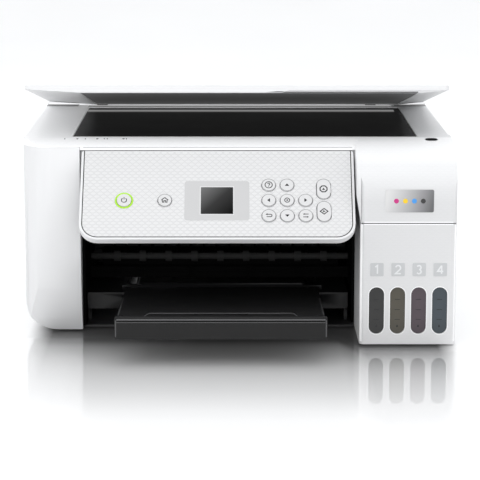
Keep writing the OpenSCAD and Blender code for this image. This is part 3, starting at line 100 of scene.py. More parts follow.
class Shader:
    """A Principled material with a few helpers for procedural detail in object coordinates."""

    def __init__(self, name, color, rough, **sockets):
        self.mat = bpy.data.materials.new(name)
        self.mat.use_nodes = True
        self.tree = self.mat.node_tree
        self.bsdf = self.tree.nodes["Principled BSDF"]
        self.bsdf.inputs["Base Color"].default_value = (*color, 1)
        self.bsdf.inputs["Roughness"].default_value = rough
        for socket, value in sockets.items():
            self.bsdf.inputs[socket.replace("_", " ")].default_value = value
        self.color = color
        self.last_bump = None

    def node(self, kind, **settings):
        made = self.tree.nodes.new(kind)
        for key, value in settings.items():
            setattr(made, key, value)
        return made

    def link(self, value, socket):
        """Gives a socket an output or a plain number."""
        if isinstance(value, (int, float)):
            socket.default_value = value
        else:
            self.tree.links.new(value, socket)
        return self

    def math(self, operation, a, b=None, clamp=False):
        made = self.node("ShaderNodeMath", operation=operation, use_clamp=clamp)
        self.link(a, made.inputs[0])
        if b is not None:
            self.link(b, made.inputs[1])
        return made.outputs[0]

    def share(self, a, b, span, clamp=True):
        """How far a lies past b, as a share of a span."""
        return self.math("DIVIDE", self.math("SUBTRACT", a, b), span, clamp=clamp)

    def coordinates(self):
        return self.node("ShaderNodeTexCoord").outputs["Object"]

    def along(self, direction):
        """The distance along a direction of the object's own frame, in metres."""
        dot = self.node("ShaderNodeVectorMath", operation="DOT_PRODUCT")
        self.link(self.coordinates(), dot.inputs[0])
        dot.inputs[1].default_value = direction
        return dot.outputs["Value"]

    def own_x(self):
        """Millimetres to the right of the printer's middle."""
        return self.math("DIVIDE", self.along((1, 0, 0)), MM)

    def own_y(self):
        """Millimetres behind the printer's own origin."""
        return self.math("DIVIDE", self.math("SUBTRACT", self.along((0, 1, 0)), FRAME_DY), MM)

    def own_z(self):
        """Millimetres above the table."""
        return self.math("DIVIDE", self.along((0, 0, 1)), MM)

    def noise(self, scale, detail, stretch=(1, 1, 1)):
        mapping = self.node("ShaderNodeMapping")
        mapping.inputs["Scale"].default_value = stretch
        self.link(self.coordinates(), mapping.inputs["Vector"])
        texture = self.node("ShaderNodeTexNoise")
        texture.inputs["Scale"].default_value = scale
        texture.inputs["Detail"].default_value = detail
        self.link(mapping.outputs["Vector"], texture.inputs["Vector"])
        return texture.outputs["Fac"]

    def bump(self, height, strength, distance):
        made = self.node("ShaderNodeBump")
        made.inputs["Strength"].default_value = strength
        made.inputs["Distance"].default_value = distance
        self.link(height, made.inputs["Height"])
        if self.last_bump:
            self.link(self.last_bump, made.inputs["Normal"])
        self.last_bump = made.outputs["Normal"]
        return self.link(self.last_bump, self.bsdf.inputs["Normal"])

    def grain(self, size, strength, depth=0.05 * MM):
        """A moulded surface's fine grain; size is the spacing of its grains."""
        return self.bump(self.noise(1 / size, 4), strength, depth)

    def glow(self, strength, color=(1, 1, 1)):
        """A faint light of its own, which stands in for light thrown back at a surface."""
        self.bsdf.inputs["Emission Color"].default_value = (*color, 1)
        return self.link(strength, self.bsdf.inputs["Emission Strength"])

    def vary(self, low, high, size):
        """Slow variation of the roughness over the surface."""
        spread = self.node("ShaderNodeMapRange")
        spread.inputs["To Min"].default_value = low
        spread.inputs["To Max"].default_value = high
        self.link(self.noise(1 / size, 2), spread.inputs["Value"])
        return self.link(spread.outputs[0], self.bsdf.inputs["Roughness"])

    def ramp(self, factor, *stops):
        made = self.node("ShaderNodeValToRGB")
        elements = made.color_ramp.elements
        while len(elements) < len(stops):
            elements.new(1)
        for element, (place, color) in zip(elements, stops):
            element.position = place
            element.color = (*color, 1)
        self.link(factor, made.inputs["Fac"])
        return made.outputs["Color"]

    def paint(self, color_output):
        return self.link(color_output, self.bsdf.inputs["Base Color"])

    def dim(self, share):
        """Scales the base colour by a number."""
        scaled = self.node("ShaderNodeVectorMath", operation="SCALE")
        self.link(self.bsdf.inputs["Base Color"].links[0].from_socket, scaled.inputs[0])
        self.link(share, scaled.inputs["Scale"])
        return self.paint(scaled.outputs[0])

    def stripes(self, coordinate, pitch, width):
        """1 on the lines of a row of thin stripes and 0 between them."""
        phase = self.math("FRACT", self.math("DIVIDE", coordinate, pitch))
        off_line = self.math("ABSOLUTE", self.math("SUBTRACT", phase, 0.5))
        edge = width / pitch / 2
        return self.math("MULTIPLY", self.math("SUBTRACT", edge, off_line), 1 / edge, clamp=True)

    def lattice(self, u, v, base, height, width, shade, relief):
        """A triangle lattice of fine sunken lines: base is a triangle's width, height its height."""
        steep = self.math("MULTIPLY", v, base / (2 * height))
        # A slanting line's width is measured level, along u
        slant_width = width * 1.7
        rising = self.stripes(self.math("ADD", u, steep), base, slant_width)
        falling = self.stripes(self.math("SUBTRACT", u, steep), base, slant_width)
        flat = self.stripes(v, height, width)
        lines = self.math("MAXIMUM", self.math("MAXIMUM", rising, falling), flat)
        # Painted shade in the sunken lines: their colour is darker by the share shade
        darker = tuple(c * (1 - shade) for c in self.color)
        self.paint(self.ramp(lines, (0, self.color), (1, darker)))
        return self.bump(lines, 0.5, -relief)


# ---- Materials --------------------------------------------------------------------

WHITE = (0.80, 0.803, 0.81)
WHITE_GRAIN = 0.35 * MM
# Painted shade: low on the tank tower the white is darker. Where that starts, over what height, how much
LOW_SHADE_TOP, LOW_SHADE_REACH, LOW_SHADE_SHARE = 150, 25, 0.13
# The table throws light back at the tower's foot: up to what height, over what height, how much
FOOT_TOP, FOOT_REACH, FOOT_GLOW = 105, 90, 0.085
# Light reaches the deck's left part and its front border, but not its low sides: the place where
# it is gone, over what distance it comes in, and how strong it is
LIT_LEFT, LIT_LEFT_REACH = 150, 60
LIT_FRONT, LIT_FRONT_REACH = -110, 5
LIT_LOW, LIT_LOW_REACH = 155, 12
DECK_GLOW = 0.15
# The windows show this share of the tanks' height, and painted shade at the windows' ends keeps this share
# of the ink's colour
SHOWN_SHARE = 0.6
SHADED_END_SHARE = 0.6


def plain(name, color, rough, size=0.3, strength=0.1, glow=0.0, **sockets):
    """One colour with a fine grain; size is the spacing of its grains in millimetres."""
    return Shader(name, color, rough, **sockets).glow(glow).grain(size * MM, strength).mat


def white_plastic():
    shader = Shader("white_plastic", WHITE, 0.42, Specular_IOR_Level=0.45)
    return shader.vary(0.38, 0.46, 30 * MM).grain(WHITE_GRAIN, 0.22).mat


def textured_white(name="textured_white"):
    """The covers with fine moulded ripples on their fronts, and painted shade low on the tank tower."""
    shader = Shader(name, WHITE, 0.42, Specular_IOR_Level=0.45)
    shader.lattice(shader.along((1, 0, 0)), shader.along((0, 0.2, 1)), base=7.05 * MM, height=2.2 * MM,
                   width=0.5 * MM, shade=0.03, relief=0.03 * MM).grain(WHITE_GRAIN, 0.15)
    foot = shader.share(FOOT_TOP, shader.own_z(), FOOT_REACH)
    shader.glow(shader.math("MULTIPLY", foot, FOOT_GLOW))
    # Painted shade: the white is darker below the hood
    low = shader.share(LOW_SHADE_TOP, shader.own_z(), LOW_SHADE_REACH)
    return shader.dim(shader.math("SUBTRACT", 1, shader.math("MULTIPLY", low, LOW_SHADE_SHARE)))


def deck_white():
    """The deck's white, with some of the light that the real lid lets in at its front and left."""
    shader = textured_white("deck_white")
    left = shader.share(LIT_LEFT, shader.own_x(), LIT_LEFT_REACH)
    front = shader.share(LIT_FRONT, shader.own_y(), LIT_FRONT_REACH)
    top = shader.share(shader.own_z(), LIT_LOW, LIT_LOW_REACH)
    gain = shader.math("MULTIPLY", top, DECK_GLOW)
    return shader.glow(shader.math("MULTIPLY", shader.math("MAXIMUM", left, front), gain)).mat


def panel_white():
    shader = Shader("panel_white", (0.745, 0.746, 0.75), 0.3, Specular_IOR_Level=0.4)
    up = PANEL_TURN @ Vector((0, 1, 0))
    return shader.lattice(shader.along((1, 0, 0)), shader.along(up), base=6.0 * MM, height=2.93 * MM,
                          width=0.62 * MM, shade=0.2, relief=0.02 * MM).mat


def dark_plastic(name, value, rough, shine=0.4):
    shader = Shader(name, (value, value, value * 1.03), rough, Specular_IOR_Level=shine)
    return shader.vary(rough - 0.05, rough + 0.06, 20 * MM).grain(0.4 * MM, 0.35).mat


def rubber(name, color):
    return plain(name, color, 0.75, 0.6, 0.4, Specular_IOR_Level=0.3)


def metal(name, value, rough, stretch):
    shader = Shader(name, (value, value, value * 1.02), rough, Metallic=1.0)
    shader.bump(shader.noise(900, 3, stretch), 0.15, 0.03 * MM)
    return shader.vary(rough - 0.08, rough + 0.1, 12 * MM).mat


def spangled_steel():
    """Galvanised sheet with its crystal flowers."""
    shader = Shader("spangled_steel", (0.6, 0.62, 0.64), 0.38, Metallic=1.0)
    cells = shader.node("ShaderNodeTexVoronoi")
    cells.inputs["Scale"].default_value = 1 / (9 * MM)
    shader.link(shader.coordinates(), cells.inputs["Vector"])
    grey = shader.node("ShaderNodeRGBToBW")
    shader.link(cells.outputs["Color"], grey.inputs[0])
    shader.paint(shader.ramp(grey.outputs[0], (0, (0.5, 0.52, 0.54)), (1, (0.72, 0.74, 0.76))))
    return shader.grain(0.8 * MM, 0.1).mat


def ink(name, color):
    """A translucent tank wall with ink behind it, and painted shade that darkens it towards the windows'
    ends.
    """
    shader = Shader(name, color, 0.3, Specular_IOR_Level=0.5)
    low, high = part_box("ink_tank_black")
    share = shader.share(shader.along((0, 0, 1)), low.z, (high.z - low.z) * SHOWN_SHARE, clamp=False)
    dim = tuple(c * SHADED_END_SHARE for c in color)
    shader.paint(shader.ramp(share, (0, dim), (0.3, color), (0.85, color), (1, dim)))
    return shader.grain(0.5 * MM, 0.1).mat


def felt():
    shader = Shader("felt", (0.05, 0.05, 0.048), 0.95, Specular_IOR_Level=0.1)
    return shader.bump(shader.noise(700, 5, (1, 1, 3)), 0.8, 0.4 * MM).mat


def pad_foam():
    """The lid's grey document sheet on foam, with a faint painted glow for the light that reaches under
    the lid.
    """
    shader = Shader("pad_foam", (0.12, 0.121, 0.124), 0.62, Specular_IOR_Level=0.3)
    return shader.glow(0.034).vary(0.55, 0.7, 25 * MM).grain(0.5 * MM, 0.3).mat


def circuit_board():
    shader = Shader("circuit_board", (0.02, 0.16, 0.06), 0.35)
    brick = shader.node("ShaderNodeTexBrick")
    brick.inputs["Scale"].default_value = 120
    shader.link(shader.coordinates(), brick.inputs["Vector"])
    return shader.paint(shader.ramp(brick.outputs["Fac"], (0, shader.color), (1, (0.03, 0.24, 0.09)))).mat


def black_glass():
    shader = Shader("black_glass", (0.004, 0.004, 0.004), 0.3, Specular_IOR_Level=0.02)
    # A faint painted glow lightens the black glass
    return shader.glow(0.003).vary(0.26, 0.34, 60 * MM).mat


def lime_ring():
    shader = Shader("lime_ring", (0.42, 0.76, 0.05), 0.35, Specular_IOR_Level=0.3)
    return shader.glow(0.08, (0.5, 0.85, 0.06)).grain(0.4 * MM, 0.1).mat


def display_grey():
    shader = Shader("display_grey", (0.58, 0.58, 0.583), 0.3, Specular_IOR_Level=0.35)
    return shader.vary(0.26, 0.34, 15 * MM).mat


# ---- Flat marks -------------------------------------------------------------------

# Each further stroke of a mark lies this much higher, so that crossing strokes never share a face
STROKE_STEP = 0.006
# A mitre grows as one over the cosine of half its corner's turn, and no further than at this cosine
MITRE_COSINE = 0.4


def arc(cx, cy, r, a0, a1, steps=16):
    angles = [math.radians(a0 + (a1 - a0) * i / steps) for i in range(steps + 1)]
    return [(cx + r * math.cos(a), cy + r * math.sin(a)) for a in angles]


def ring(r, cx=0, cy=0):
    """A circle's points, without the first one again at its end."""
    return arc(cx, cy, r, 0, 345, 23)


def round_rect(w, h, r, cx=0, cy=0):
    x, y = w / 2 - r, h / 2 - r
    corners = ((x, y, 0), (-x, y, 90), (-x, -y, 180), (x, -y, 270))
    return [p for dx, dy, a in corners for p in arc(cx + dx, cy + dy, r, a, a + 90, 6)]


def stadium(r, straight, cy=0):
    """An upright outline with round ends, whose straight sides reach this far up and down."""
    return arc(0, cy + straight, r, 0, 180, 18) + arc(0, cy - straight, r, 180, 360, 18)


class Mark:
    """A thin raised mark made of filled outlines and lines, in millimetres on a plane."""

    def __init__(self, z0, z1):
        self.z0, self.z1 = z0, z1
        self.bm = bmesh.new()

    def fill(self, outline):
        low = [self.bm.verts.new((x, y, self.z0)) for x, y in outline]
        high = [self.bm.verts.new((x, y, self.z1)) for x, y in outline]
        self.bm.faces.new(high)
        self.bm.faces.new(low[::-1])
        for i in range(len(outline)):
            j = (i + 1) % len(outline)
            self.bm.faces.new((low[i], low[j], high[j], high[i]))
        self.z1 += STROKE_STEP
        return self

    def line(self, points, width, closed=False):
        """A line of an even width with mitred corners."""
        rows = []
        count = len(points)
        for i, point in enumerate(points):
            here = Vector(point)
            before = Vector(points[i - 1]) if i or closed else None
            after = Vector(points[(i + 1) % count]) if i + 1 < count or closed else None
            come = (here - before).normalized() if before is not None else None
            go = (after - here).normalized() if after is not None else None
            come = come or go
            go = go or come
            side = Vector((-come.y - go.y, come.x + go.x)).normalized()
            reach = width / 2 / max(side.dot(Vector((-go.y, go.x))), MITRE_COSINE)
            row = [(here + side * reach, self.z0), (here - side * reach, self.z0),
                   (here - side * reach, self.z1), (here + side * reach, self.z1)]
            rows.append([self.bm.verts.new((p.x, p.y, z)) for p, z in row])
        for i in range(count if closed else count - 1):
            a, b = rows[i], rows[(i + 1) % count]
            for k in range(4):
                self.bm.faces.new((a[k], a[(k + 1) % 4], b[(k + 1) % 4], b[k]))
        if not closed:
            self.bm.faces.new(rows[0][::-1])
            self.bm.faces.new(rows[-1])
        self.z1 += STROKE_STEP
        return self

    def dot(self, cx, cy, r):
        return self.fill(ring(r, cx, cy))

    def make(self, name, plane, material, body, slot):
        bmesh.ops.recalc_face_normals(self.bm, faces=self.bm.faces)
        mesh = bpy.data.meshes.new(name)
        self.bm.to_mesh(mesh)
        self.bm.free()
        mesh.transform(plane @ Matrix.Scale(MM, 4))
        mesh.materials.append(material)
        made = bpy.data.objects.new(name, mesh)
        scene.collection.objects.link(made)
        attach(made, body)


def patch(name, plane, outline, material, body, slot, low=-0.02, high=0.03):
    """A mark with one filled outline, between two heights over its plane."""
    Mark(low, high).fill(outline).make(name, plane, material, body, slot)


# ---- CAD nodes: materials and softened edges --------------------------------------

SLOTS = {
    "white_shell": white_plastic(),
    "dark_shell": dark_plastic("dark_shell", 0.028, 0.5),
    "tray_dark": dark_plastic("tray_dark", 0.009, 0.42, 0.2),
    "black_frame": dark_plastic("black_frame", 0.0022, 0.7, 0.05),
    "foot_rubber": rubber("foot_rubber", (0.02, 0.02, 0.02)),
    "sheet_steel": spangled_steel(),
    "motor_dark": metal("motor_dark", 0.16, 0.4, (1, 1, 1)),
    "roller_steel": metal("roller_steel", 0.6, 0.25, (0.05, 1, 1)),
    "roller_rubber": rubber("roller_rubber", (0.03, 0.03, 0.03)),
    "gear_plastic": plain("gear_plastic", (0.72, 0.72, 0.68), 0.4, 0.5),
    "felt": felt(),
    "tube_plastic": rubber("tube_plastic", (0.12, 0.12, 0.13)),
    "circuit_board": circuit_board(),
    "panel_white": panel_white(),
    "display_window": display_grey(),
    "light_ring": lime_ring(),
    "key_white": plain("key_white", (0.70, 0.701, 0.705), 0.3, 0.3, 0.08, Specular_IOR_Level=0.4),
    "platen_glass": black_glass(),
    "lid_pad": pad_foam(),
    "tank_black": ink("tank_black", (0.009, 0.009, 0.009)),
    "tank_yellow": ink("tank_yellow", (0.069, 0.06, 0.041)),
    "tank_magenta": ink("tank_magenta", (0.069, 0.047, 0.06)),
    "tank_cyan": ink("tank_cyan", (0.037, 0.053, 0.067)),
    "cap_black": rubber("cap_black", (0.03, 0.03, 0.03)),
    "cap_yellow": rubber("cap_yellow", (0.75, 0.55, 0.03)),
    "cap_magenta": rubber("cap_magenta", (0.6, 0.04, 0.25)),
    "cap_cyan": rubber("cap_cyan", (0.03, 0.35, 0.6)),
}
# Materials that differ from their slot's usual one
OWN = dict.fromkeys(("tank_front_cover", "lid_cover"), textured_white().mat)
OWN["scanner_deck"] = deck_white()
OWN["feed_roller"] = rubber("roller_coating", (0.02, 0.02, 0.021))

# Width of the softened edges in millimetres: the keys', the usual one and those that differ
KEY_EDGE = 0.12
EDGE = 0.35
EDGES = {"tank_front_cover": 0.5, "scanner_deck": 0.4, "left_side_cover": 0.5, "lid_cover": 0.5,
         "panel_housing": 0.6, "panel_faceplate": 0.15, "power_ring": 0.15, "output_tray": 0.4,
         "platen_glass": 0.3}
# Edges between faces that meet at a sharper turn than this are softened
SHARP = math.radians(38)
# Covers whose large faces are curved keep their facets' own normals
CURVED = ("left_side_cover",)


def soften(node, width, curved):
    """Welds a node's faces, rounds its sharp edges and smooths its curved faces."""
    for face in node.data.polygons:
        face.use_smooth = True
    weld = node.modifiers.new("weld", "WELD")
    weld.merge_threshold = 0.004 * MM
    bevel = node.modifiers.new("edges", "BEVEL")
    bevel.width = width * MM
    bevel.segments = 2
    bevel.limit_method = "ANGLE"
    bevel.angle_limit = SHARP
    bevel.use_clamp_overlap = True
    bevel.harden_normals = curved
    if not curved:
        normals = node.modifiers.new("normals", "WEIGHTED_NORMAL")
        normals.weight = 80


for part in frame["record"]["subparts"]:
    name = part["node"]
    node = frame["nodes"][name]
    node.data.materials.clear()
    node.data.materials.append(OWN.get(name, SLOTS[part["material_slot"]]))
    width = KEY_EDGE if name.startswith("button_") else EDGES.get(name, EDGE)
    soften(node, width, name in CURVED)

# ---- Materials of the marks -------------------------------------------------------

PRINT = plain("icon_print", (0.012, 0.012, 0.014), 0.5, Specular_IOR_Level=0.2)
# Grey painted shade of the gap round each key
KEY_GAP_SHADE = plain("key_gap_shade", (0.22, 0.22, 0.225), 0.5, Specular_IOR_Level=0.2)
# Painted shadow for seams and grooves, and the dark eye's own black
SHADOW_AND_EYE_BLACK = plain("seam_shadow", (0.006, 0.006, 0.006), 0.8, Specular_IOR_Level=0.05)
# Grey of the digits' tiles, also used as painted shade along the deck's front crease
TILE_AND_CREASE_SHADE = plain("label_tile", (0.56, 0.57, 0.58), 0.4, strength=0.15)
DIGIT = plain("label_digit", (0.78, 0.79, 0.8), 0.4)
LEVEL = plain("level_mark", (0.026, 0.026, 0.028), 0.5, Specular_IOR_Level=0.2)
# Painted highlights that glow a little
GLEAM = plain("edge_gleam", (0.85, 0.852, 0.86), 0.35, 0.35, glow=0.3)
SOFT_GLEAM = plain("soft_gleam", (0.85, 0.852, 0.86), 0.35, 0.35, glow=0.14)
# Painted highlights for the dark tray's edges
GLINT = plain("tray_glint", (0.105, 0.105, 0.108), 0.4, 0.4)
DULL_GLINT = plain("tray_dull_glint", (0.06, 0.06, 0.062), 0.4, 0.4)


def faint(name, glow):
    """Dark grey with a little light on it."""
    return plain(name, (0.1, 0.1, 0.1), 0.4, 0.4, glow=glow)


# ---- Icons and painted gap shade on the keys --------------------------------------

# How far the keys' tops stand out of the panel's plane
KEY_TOP = 0.9
# Radius of the painted gap shade round the round keys and the long keys' ends, and how far
# it reaches straight up and down on the long keys
GAP_SHADE_R = 5.85
LONG_STRAIGHT = 4
GAP_SHADE_W = 0.42
# Width of the icons' lines
LINE = 0.68


def power(mark):
    mark.line(arc(0, 0, 2.2, 125, 415, 24), LINE).line([(0, 0.7), (0, 2.9)], LINE)


def home(mark):
    mark.line([(-3, 0), (0, 2.5), (3, 0)], LINE)
    mark.line([(-2, 0.3), (-2, -2.1), (-0.7, -2.1), (-0.7, -0.5),
               (0.7, -0.5), (0.7, -2.1), (2, -2.1), (2, 0.3)], LINE)


def assist(mark):
    mark.line(ring(3.1), LINE, closed=True)
    mark.line(arc(0, 0.7, 0.95, 160, -60, 10) + [(0, -0.7)], LINE).dot(0, -1.6, 0.35)


def arrow(turn):
    def draw(mark):
        c, s = math.cos(math.radians(turn)), math.sin(math.radians(turn))
        mark.fill([(x * c - y * s, x * s + y * c) for x, y in ((-1.9, -1), (1.9, -1), (0, 1.3))])
    return draw


def confirm(mark):
    mark.line(ring(2.1), LINE, closed=True).dot(0, 0, 0.75)


def back(mark):
    mark.line([(-1.6, 1.2), (1.4, 1.2)] + arc(1.4, 0, 1.2, 80, -90, 8) + [(-2, -1.2)], LINE)
    mark.fill([(-1.2, 0.2), (-1.2, 2.2), (-2.9, 1.2)])


def swap(mark):
    mark.line([(-1.4, 1.4), (2.3, 1.4)], LINE).fill([(-1.1, 0.6), (-1.1, 2.2), (-2.6, 1.4)])
    mark.line([(-2.3, -1.4), (1.4, -1.4)], LINE).fill([(2.6, -1.4), (1.1, -0.6), (1.1, -2.2)])


def stop(mark):
    mark.line(arc(0, 0, 3.2, 22.5, 337.5, 7), LINE * 1.4, closed=True)
    mark.fill([(-1.3, -1), (1.3, -1), (0, 1.2)])


def start(mark):
    mark.line([(-3.3, 0), (0, -2.8), (3.3, 0), (0, 2.8)], LINE * 1.2, closed=True)
    mark.fill([(-0.8, -1.1), (1.2, 0), (-0.8, 1.1)])


ICONS = {"power": power, "home": home, "help": assist, "up": arrow(0), "left": arrow(90), "ok": confirm,
         "right": arrow(-90), "back": back, "down": arrow(180), "swap": swap, "stop": stop, "start": start}

for name, draw in ICONS.items():
    x, y = panel_middle("button_" + name)
    key_plane = PANEL @ Matrix.Translation(Vector((x, y, KEY_TOP)) * MM)
    icon = Mark(-0.02, 0.05)
    draw(icon)
    icon.make("icon_" + name, key_plane, PRINT, "key_" + name, "key_white")
    # The power key has its green ring instead of painted gap shade
    if name != "power":
        edge = stadium(GAP_SHADE_R, LONG_STRAIGHT if name in ("stop", "start") else 0)
        Mark(-0.02, 0.015).line(edge, GAP_SHADE_W).make(
            "gap_shade_" + name, key_plane, KEY_GAP_SHADE, "key_" + name, "key_white")

# ---- Painted seam shadow and upper edge of the faceplate --------------------------

# The seam's distance from the panel's middle, its foot, its upper ends and its lower corners' radius
SEAM_SIDE = 115.1
SEAM_FOOT = 2.4
SEAM_TOP = 88.4
SEAM_R = 13.6
SEAM_W = 0.78

seam = [(-SEAM_SIDE, SEAM_TOP)]
seam += arc(SEAM_R - SEAM_SIDE, SEAM_FOOT + SEAM_R, SEAM_R, 180, 270, 12)
seam += arc(SEAM_SIDE - SEAM_R, SEAM_FOOT + SEAM_R, SEAM_R, 270, 360, 12)
seam += [(SEAM_SIDE, SEAM_TOP)]
Mark(-1.75, 0.02).line(seam, SEAM_W).make("faceplate_seam_shadow", PANEL, SHADOW_AND_EYE_BLACK, "base", "white_shell")
patch("faceplate_top", PANEL, round_rect(2 * SEAM_SIDE - 1.2, 1.1, 0.3, 0, SEAM_TOP - 0.6),
      SLOTS["key_white"], "base", "panel_white", high=0.04)

# ---- Display ----------------------------------------------------------------------

FIELD = panel_middle("lcd_window")
FIELD_SIZE = (55.5, 39)
SCREEN = (27.6, 26.6)
# Length of the screen's painted sheen, which darkens it from its upper left to its lower right
SHEEN = 36 * MM


def screen_glass():
    """A dark screen with a painted sheen: lighter towards its upper left corner."""
    shader = Shader("screen_glass", (0.03, 0.03, 0.03), 0.2, Specular_IOR_Level=0.08)
    across = PANEL_TURN @ Vector((0.7, -0.7, 0))
    middle = across.dot(PANEL @ (Vector((*FIELD, 0)) * MM))
    share = shader.share(shader.along(across), middle - SHEEN / 2, SHEEN, clamp=False)
    shades = ((0, (0.16, 0.16, 0.16)), (0.5, (0.035, 0.035, 0.035)), (1, (0.001, 0.001, 0.001)))
    return shader.paint(shader.ramp(share, *shades)).mat


patch("display_field", PANEL, round_rect(*FIELD_SIZE, 2.5, *FIELD),
      SLOTS["display_window"], "base", "display_window", 0.02, 0.12)
patch("screen_border", PANEL, round_rect(SCREEN[0] + 1.8, SCREEN[1] + 2, 0.5, *FIELD),
      SLOTS["key_white"], "base", "display_window", 0.05, 0.16)
patch("screen", PANEL, round_rect(*SCREEN, 0.3, *FIELD),
      screen_glass(), "base", "display_window", 0.1, 0.2)

# ---- Ink tank tower ---------------------------------------------------------------

# The digits' raised tiles
TILE_W = 11.4
TILE_PROUD = 0.45
TILE_Z = 67
DIGIT_W = 1.25
# Strokes of the digits 1 to 4, one over each tank's window
DIGITS = {
    "black": [[(-1.5, 2.2), (0.4, 3.6), (0.4, -3.6)]],
    "yellow": [arc(0, 1.5, 2.1, 165, -35, 12) + [(-2.2, -3.5), (2.4, -3.5)]],
    "magenta": [arc(-0.2, 1.75, 1.75, 150, -85, 12), arc(-0.2, -1.75, 1.85, 85, -150, 12)],
    "cyan": [[(2.5, -1.5), (-2.3, -1.5), (0.9, 3.4)], [(1.1, 3.6), (1.1, -3.6)]],
}
# Heights of the level lines on the tanks, and of the drop under them
LEVELS = (40.4, 31.4, 22.8)
DROP_Z = 16.8
# The windows in the tower's cover
WINDOW_W = 13
WINDOW_H = 41
WINDOW_Z = 10.5
# Width of the painted highlight round each window
RIM_HIGHLIGHT_W = 0.7

for name, strokes in DIGITS.items():
    tank_low, tank_high = own_box("ink_tank_" + name)
    x = (tank_low.x + tank_high.x) / 2
    tile_front = upright(x, TOWER_Y - TILE_PROUD, TILE_Z)
    patch("tile_" + name, tile_front, round_rect(TILE_W, TILE_W, 1), TILE_AND_CREASE_SHADE, "base", "white_shell", high=0.1)
    digit = Mark(0.08, 0.25)
    for stroke in strokes:
        digit.line(stroke, DIGIT_W)
    digit.make("digit_" + name, tile_front, DIGIT, "base", "white_shell")
    marks = Mark(-0.02, 0.12)
    for z in LEVELS:
        marks.fill(round_rect(4.6, 0.5, 0.2, 0, z))
    marks.fill([(0, DROP_Z + 1.5)] + arc(0, DROP_Z, 0.8, 40, -220, 12))
    marks.make("levels_" + name, upright(x, tank_low.y, 0), LEVEL, "base", "tank_" + name)
    # A painted highlight round each window
    rim_highlight = stadium(WINDOW_W / 2 + RIM_HIGHLIGHT_W / 2, (WINDOW_H - WINDOW_W) / 2, WINDOW_Z + WINDOW_H / 2)
    Mark(-0.02, 0.05).line(rim_highlight, RIM_HIGHLIGHT_W, closed=True).make(
        "window_highlight_" + name, upright(x, TOWER_Y, 0), SOFT_GLEAM, "base", "white_shell")

# Painted highlights on the tower's round upright corners, over the height between its foot and its seam
INNER_R = 4.5
OUTER_R = 3
GLEAM_FOOT = 4
GLEAM_TOP = 106
SKIN = 0.05


def corner_gleam(name, cx, r, a0, a1, material):
    """A thin skin of painted highlight on part of a round upright corner."""
    cy = TOWER_Y + r
    outline = arc(cx, cy, r + SKIN, a0, a1, 6) + arc(cx, cy, r - SKIN, a1, a0, 6)
    patch(name, level(0, 0, 0), outline, material, "base", "white_shell", GLEAM_FOOT, GLEAM_TOP)


corner_gleam("tower_inner_edge_gleam", TOWER_LOW.x + INNER_R, INNER_R, 205, 236, GLEAM)
corner_gleam("tower_outer_edge_gleam", TOWER_HIGH.x - OUTER_R, OUTER_R, 290, 322, SOFT_GLEAM)

# Painted shadow in the seam between the tower and the hood, and painted highlights on the edges under and
# over it
SEAM_X = 146.3
SEAM_Z = (TOWER_HIGH.z + DECK_LOW.z) / 2
tower_front = upright(0, TOWER_Y, 0)
patch("tower_seam_shadow", tower_front, round_rect(80.4, 0.6, 0.25, SEAM_X, SEAM_Z),
      SHADOW_AND_EYE_BLACK, "base", "white_shell", low=-0.3)
patch("tower_seam_highlight", tower_front, round_rect(76, 0.8, 0.3, SEAM_X, SEAM_Z - 0.9),
      SOFT_GLEAM, "base", "white_shell")
patch("hood_seam_highlight", tower_front, round_rect(76, 0.8, 0.3, SEAM_X, SEAM_Z + 1.1),
      SOFT_GLEAM, "scanner", "white_shell")

# ---- Badge plate on the hood ------------------------------------------------------

BADGE_X = 146.9
BADGE_Z = 126.3
BADGE_SIZE = (41, 19.5)
DOT_R = 2.1
DOT_PITCH = 7.6
DOTS = {"magenta": (0.55, 0.01, 0.2), "yellow": (0.9, 0.6, 0.01),
        "cyan": (0.05, 0.3, 0.75), "black": (0.02, 0.02, 0.02)}


def badge_metal():
    """Brushed plate with a painted reflection, which darkens it towards its lower right."""
    shader = Shader("badge_metal", (0.4, 0.4, 0.41), 0.35, Metallic=0.2)
    u = shader.share(shader.own_x(), BADGE_X, BADGE_SIZE[0], clamp=False)
    v = shader.share(shader.own_z(), BADGE_Z, BADGE_SIZE[1], clamp=False)
    share = shader.math("ADD", shader.math("SUBTRACT", u, shader.math("MULTIPLY", v, 0.15)), 0.5)
    shades = ((0, (0.66, 0.66, 0.66)), (0.5, (0.4, 0.4, 0.41)), (1, (0.12, 0.12, 0.125)))
    shader.paint(shader.ramp(share, *shades))
    return shader.bump(shader.noise(2500, 2, (0.04, 1, 1)), 0.12, 0.02 * MM).mat


badge_plane = upright(BADGE_X, TOWER_Y, BADGE_Z)
patch("badge_rim", badge_plane, round_rect(BADGE_SIZE[0] + 1, BADGE_SIZE[1] + 1, 1.9),
      SLOTS["key_white"], "scanner", "white_shell", -0.05, 0.45)
patch("badge_plate", badge_plane, round_rect(*BADGE_SIZE, 1.5), badge_metal(), "scanner", "white_shell",
      0.3, 0.6)
for i, (name, color) in enumerate(DOTS.items()):
    patch("badge_dot_" + name, badge_plane, ring(DOT_R, DOT_PITCH * (i - 1.5)),
          plain("dot_" + name, color, 0.3), "scanner", "white_shell", 0.55, 0.7)

# ---- Tray -------------------------------------------------------------------------

# The tray's top plane starts at the middle of its front's upper edge and falls towards the back
TRAY_SLOPE = 2.9
TRAY = level(-13.4, -244, 41) @ turned(-TRAY_SLOPE)
TRAY_FRONT = TRAY @ turned(90)
# How far the tray's upright front edges and its top's side edges lie from its middle
TRAY_END_X = 87
TRAY_SIDE_X = 85.2

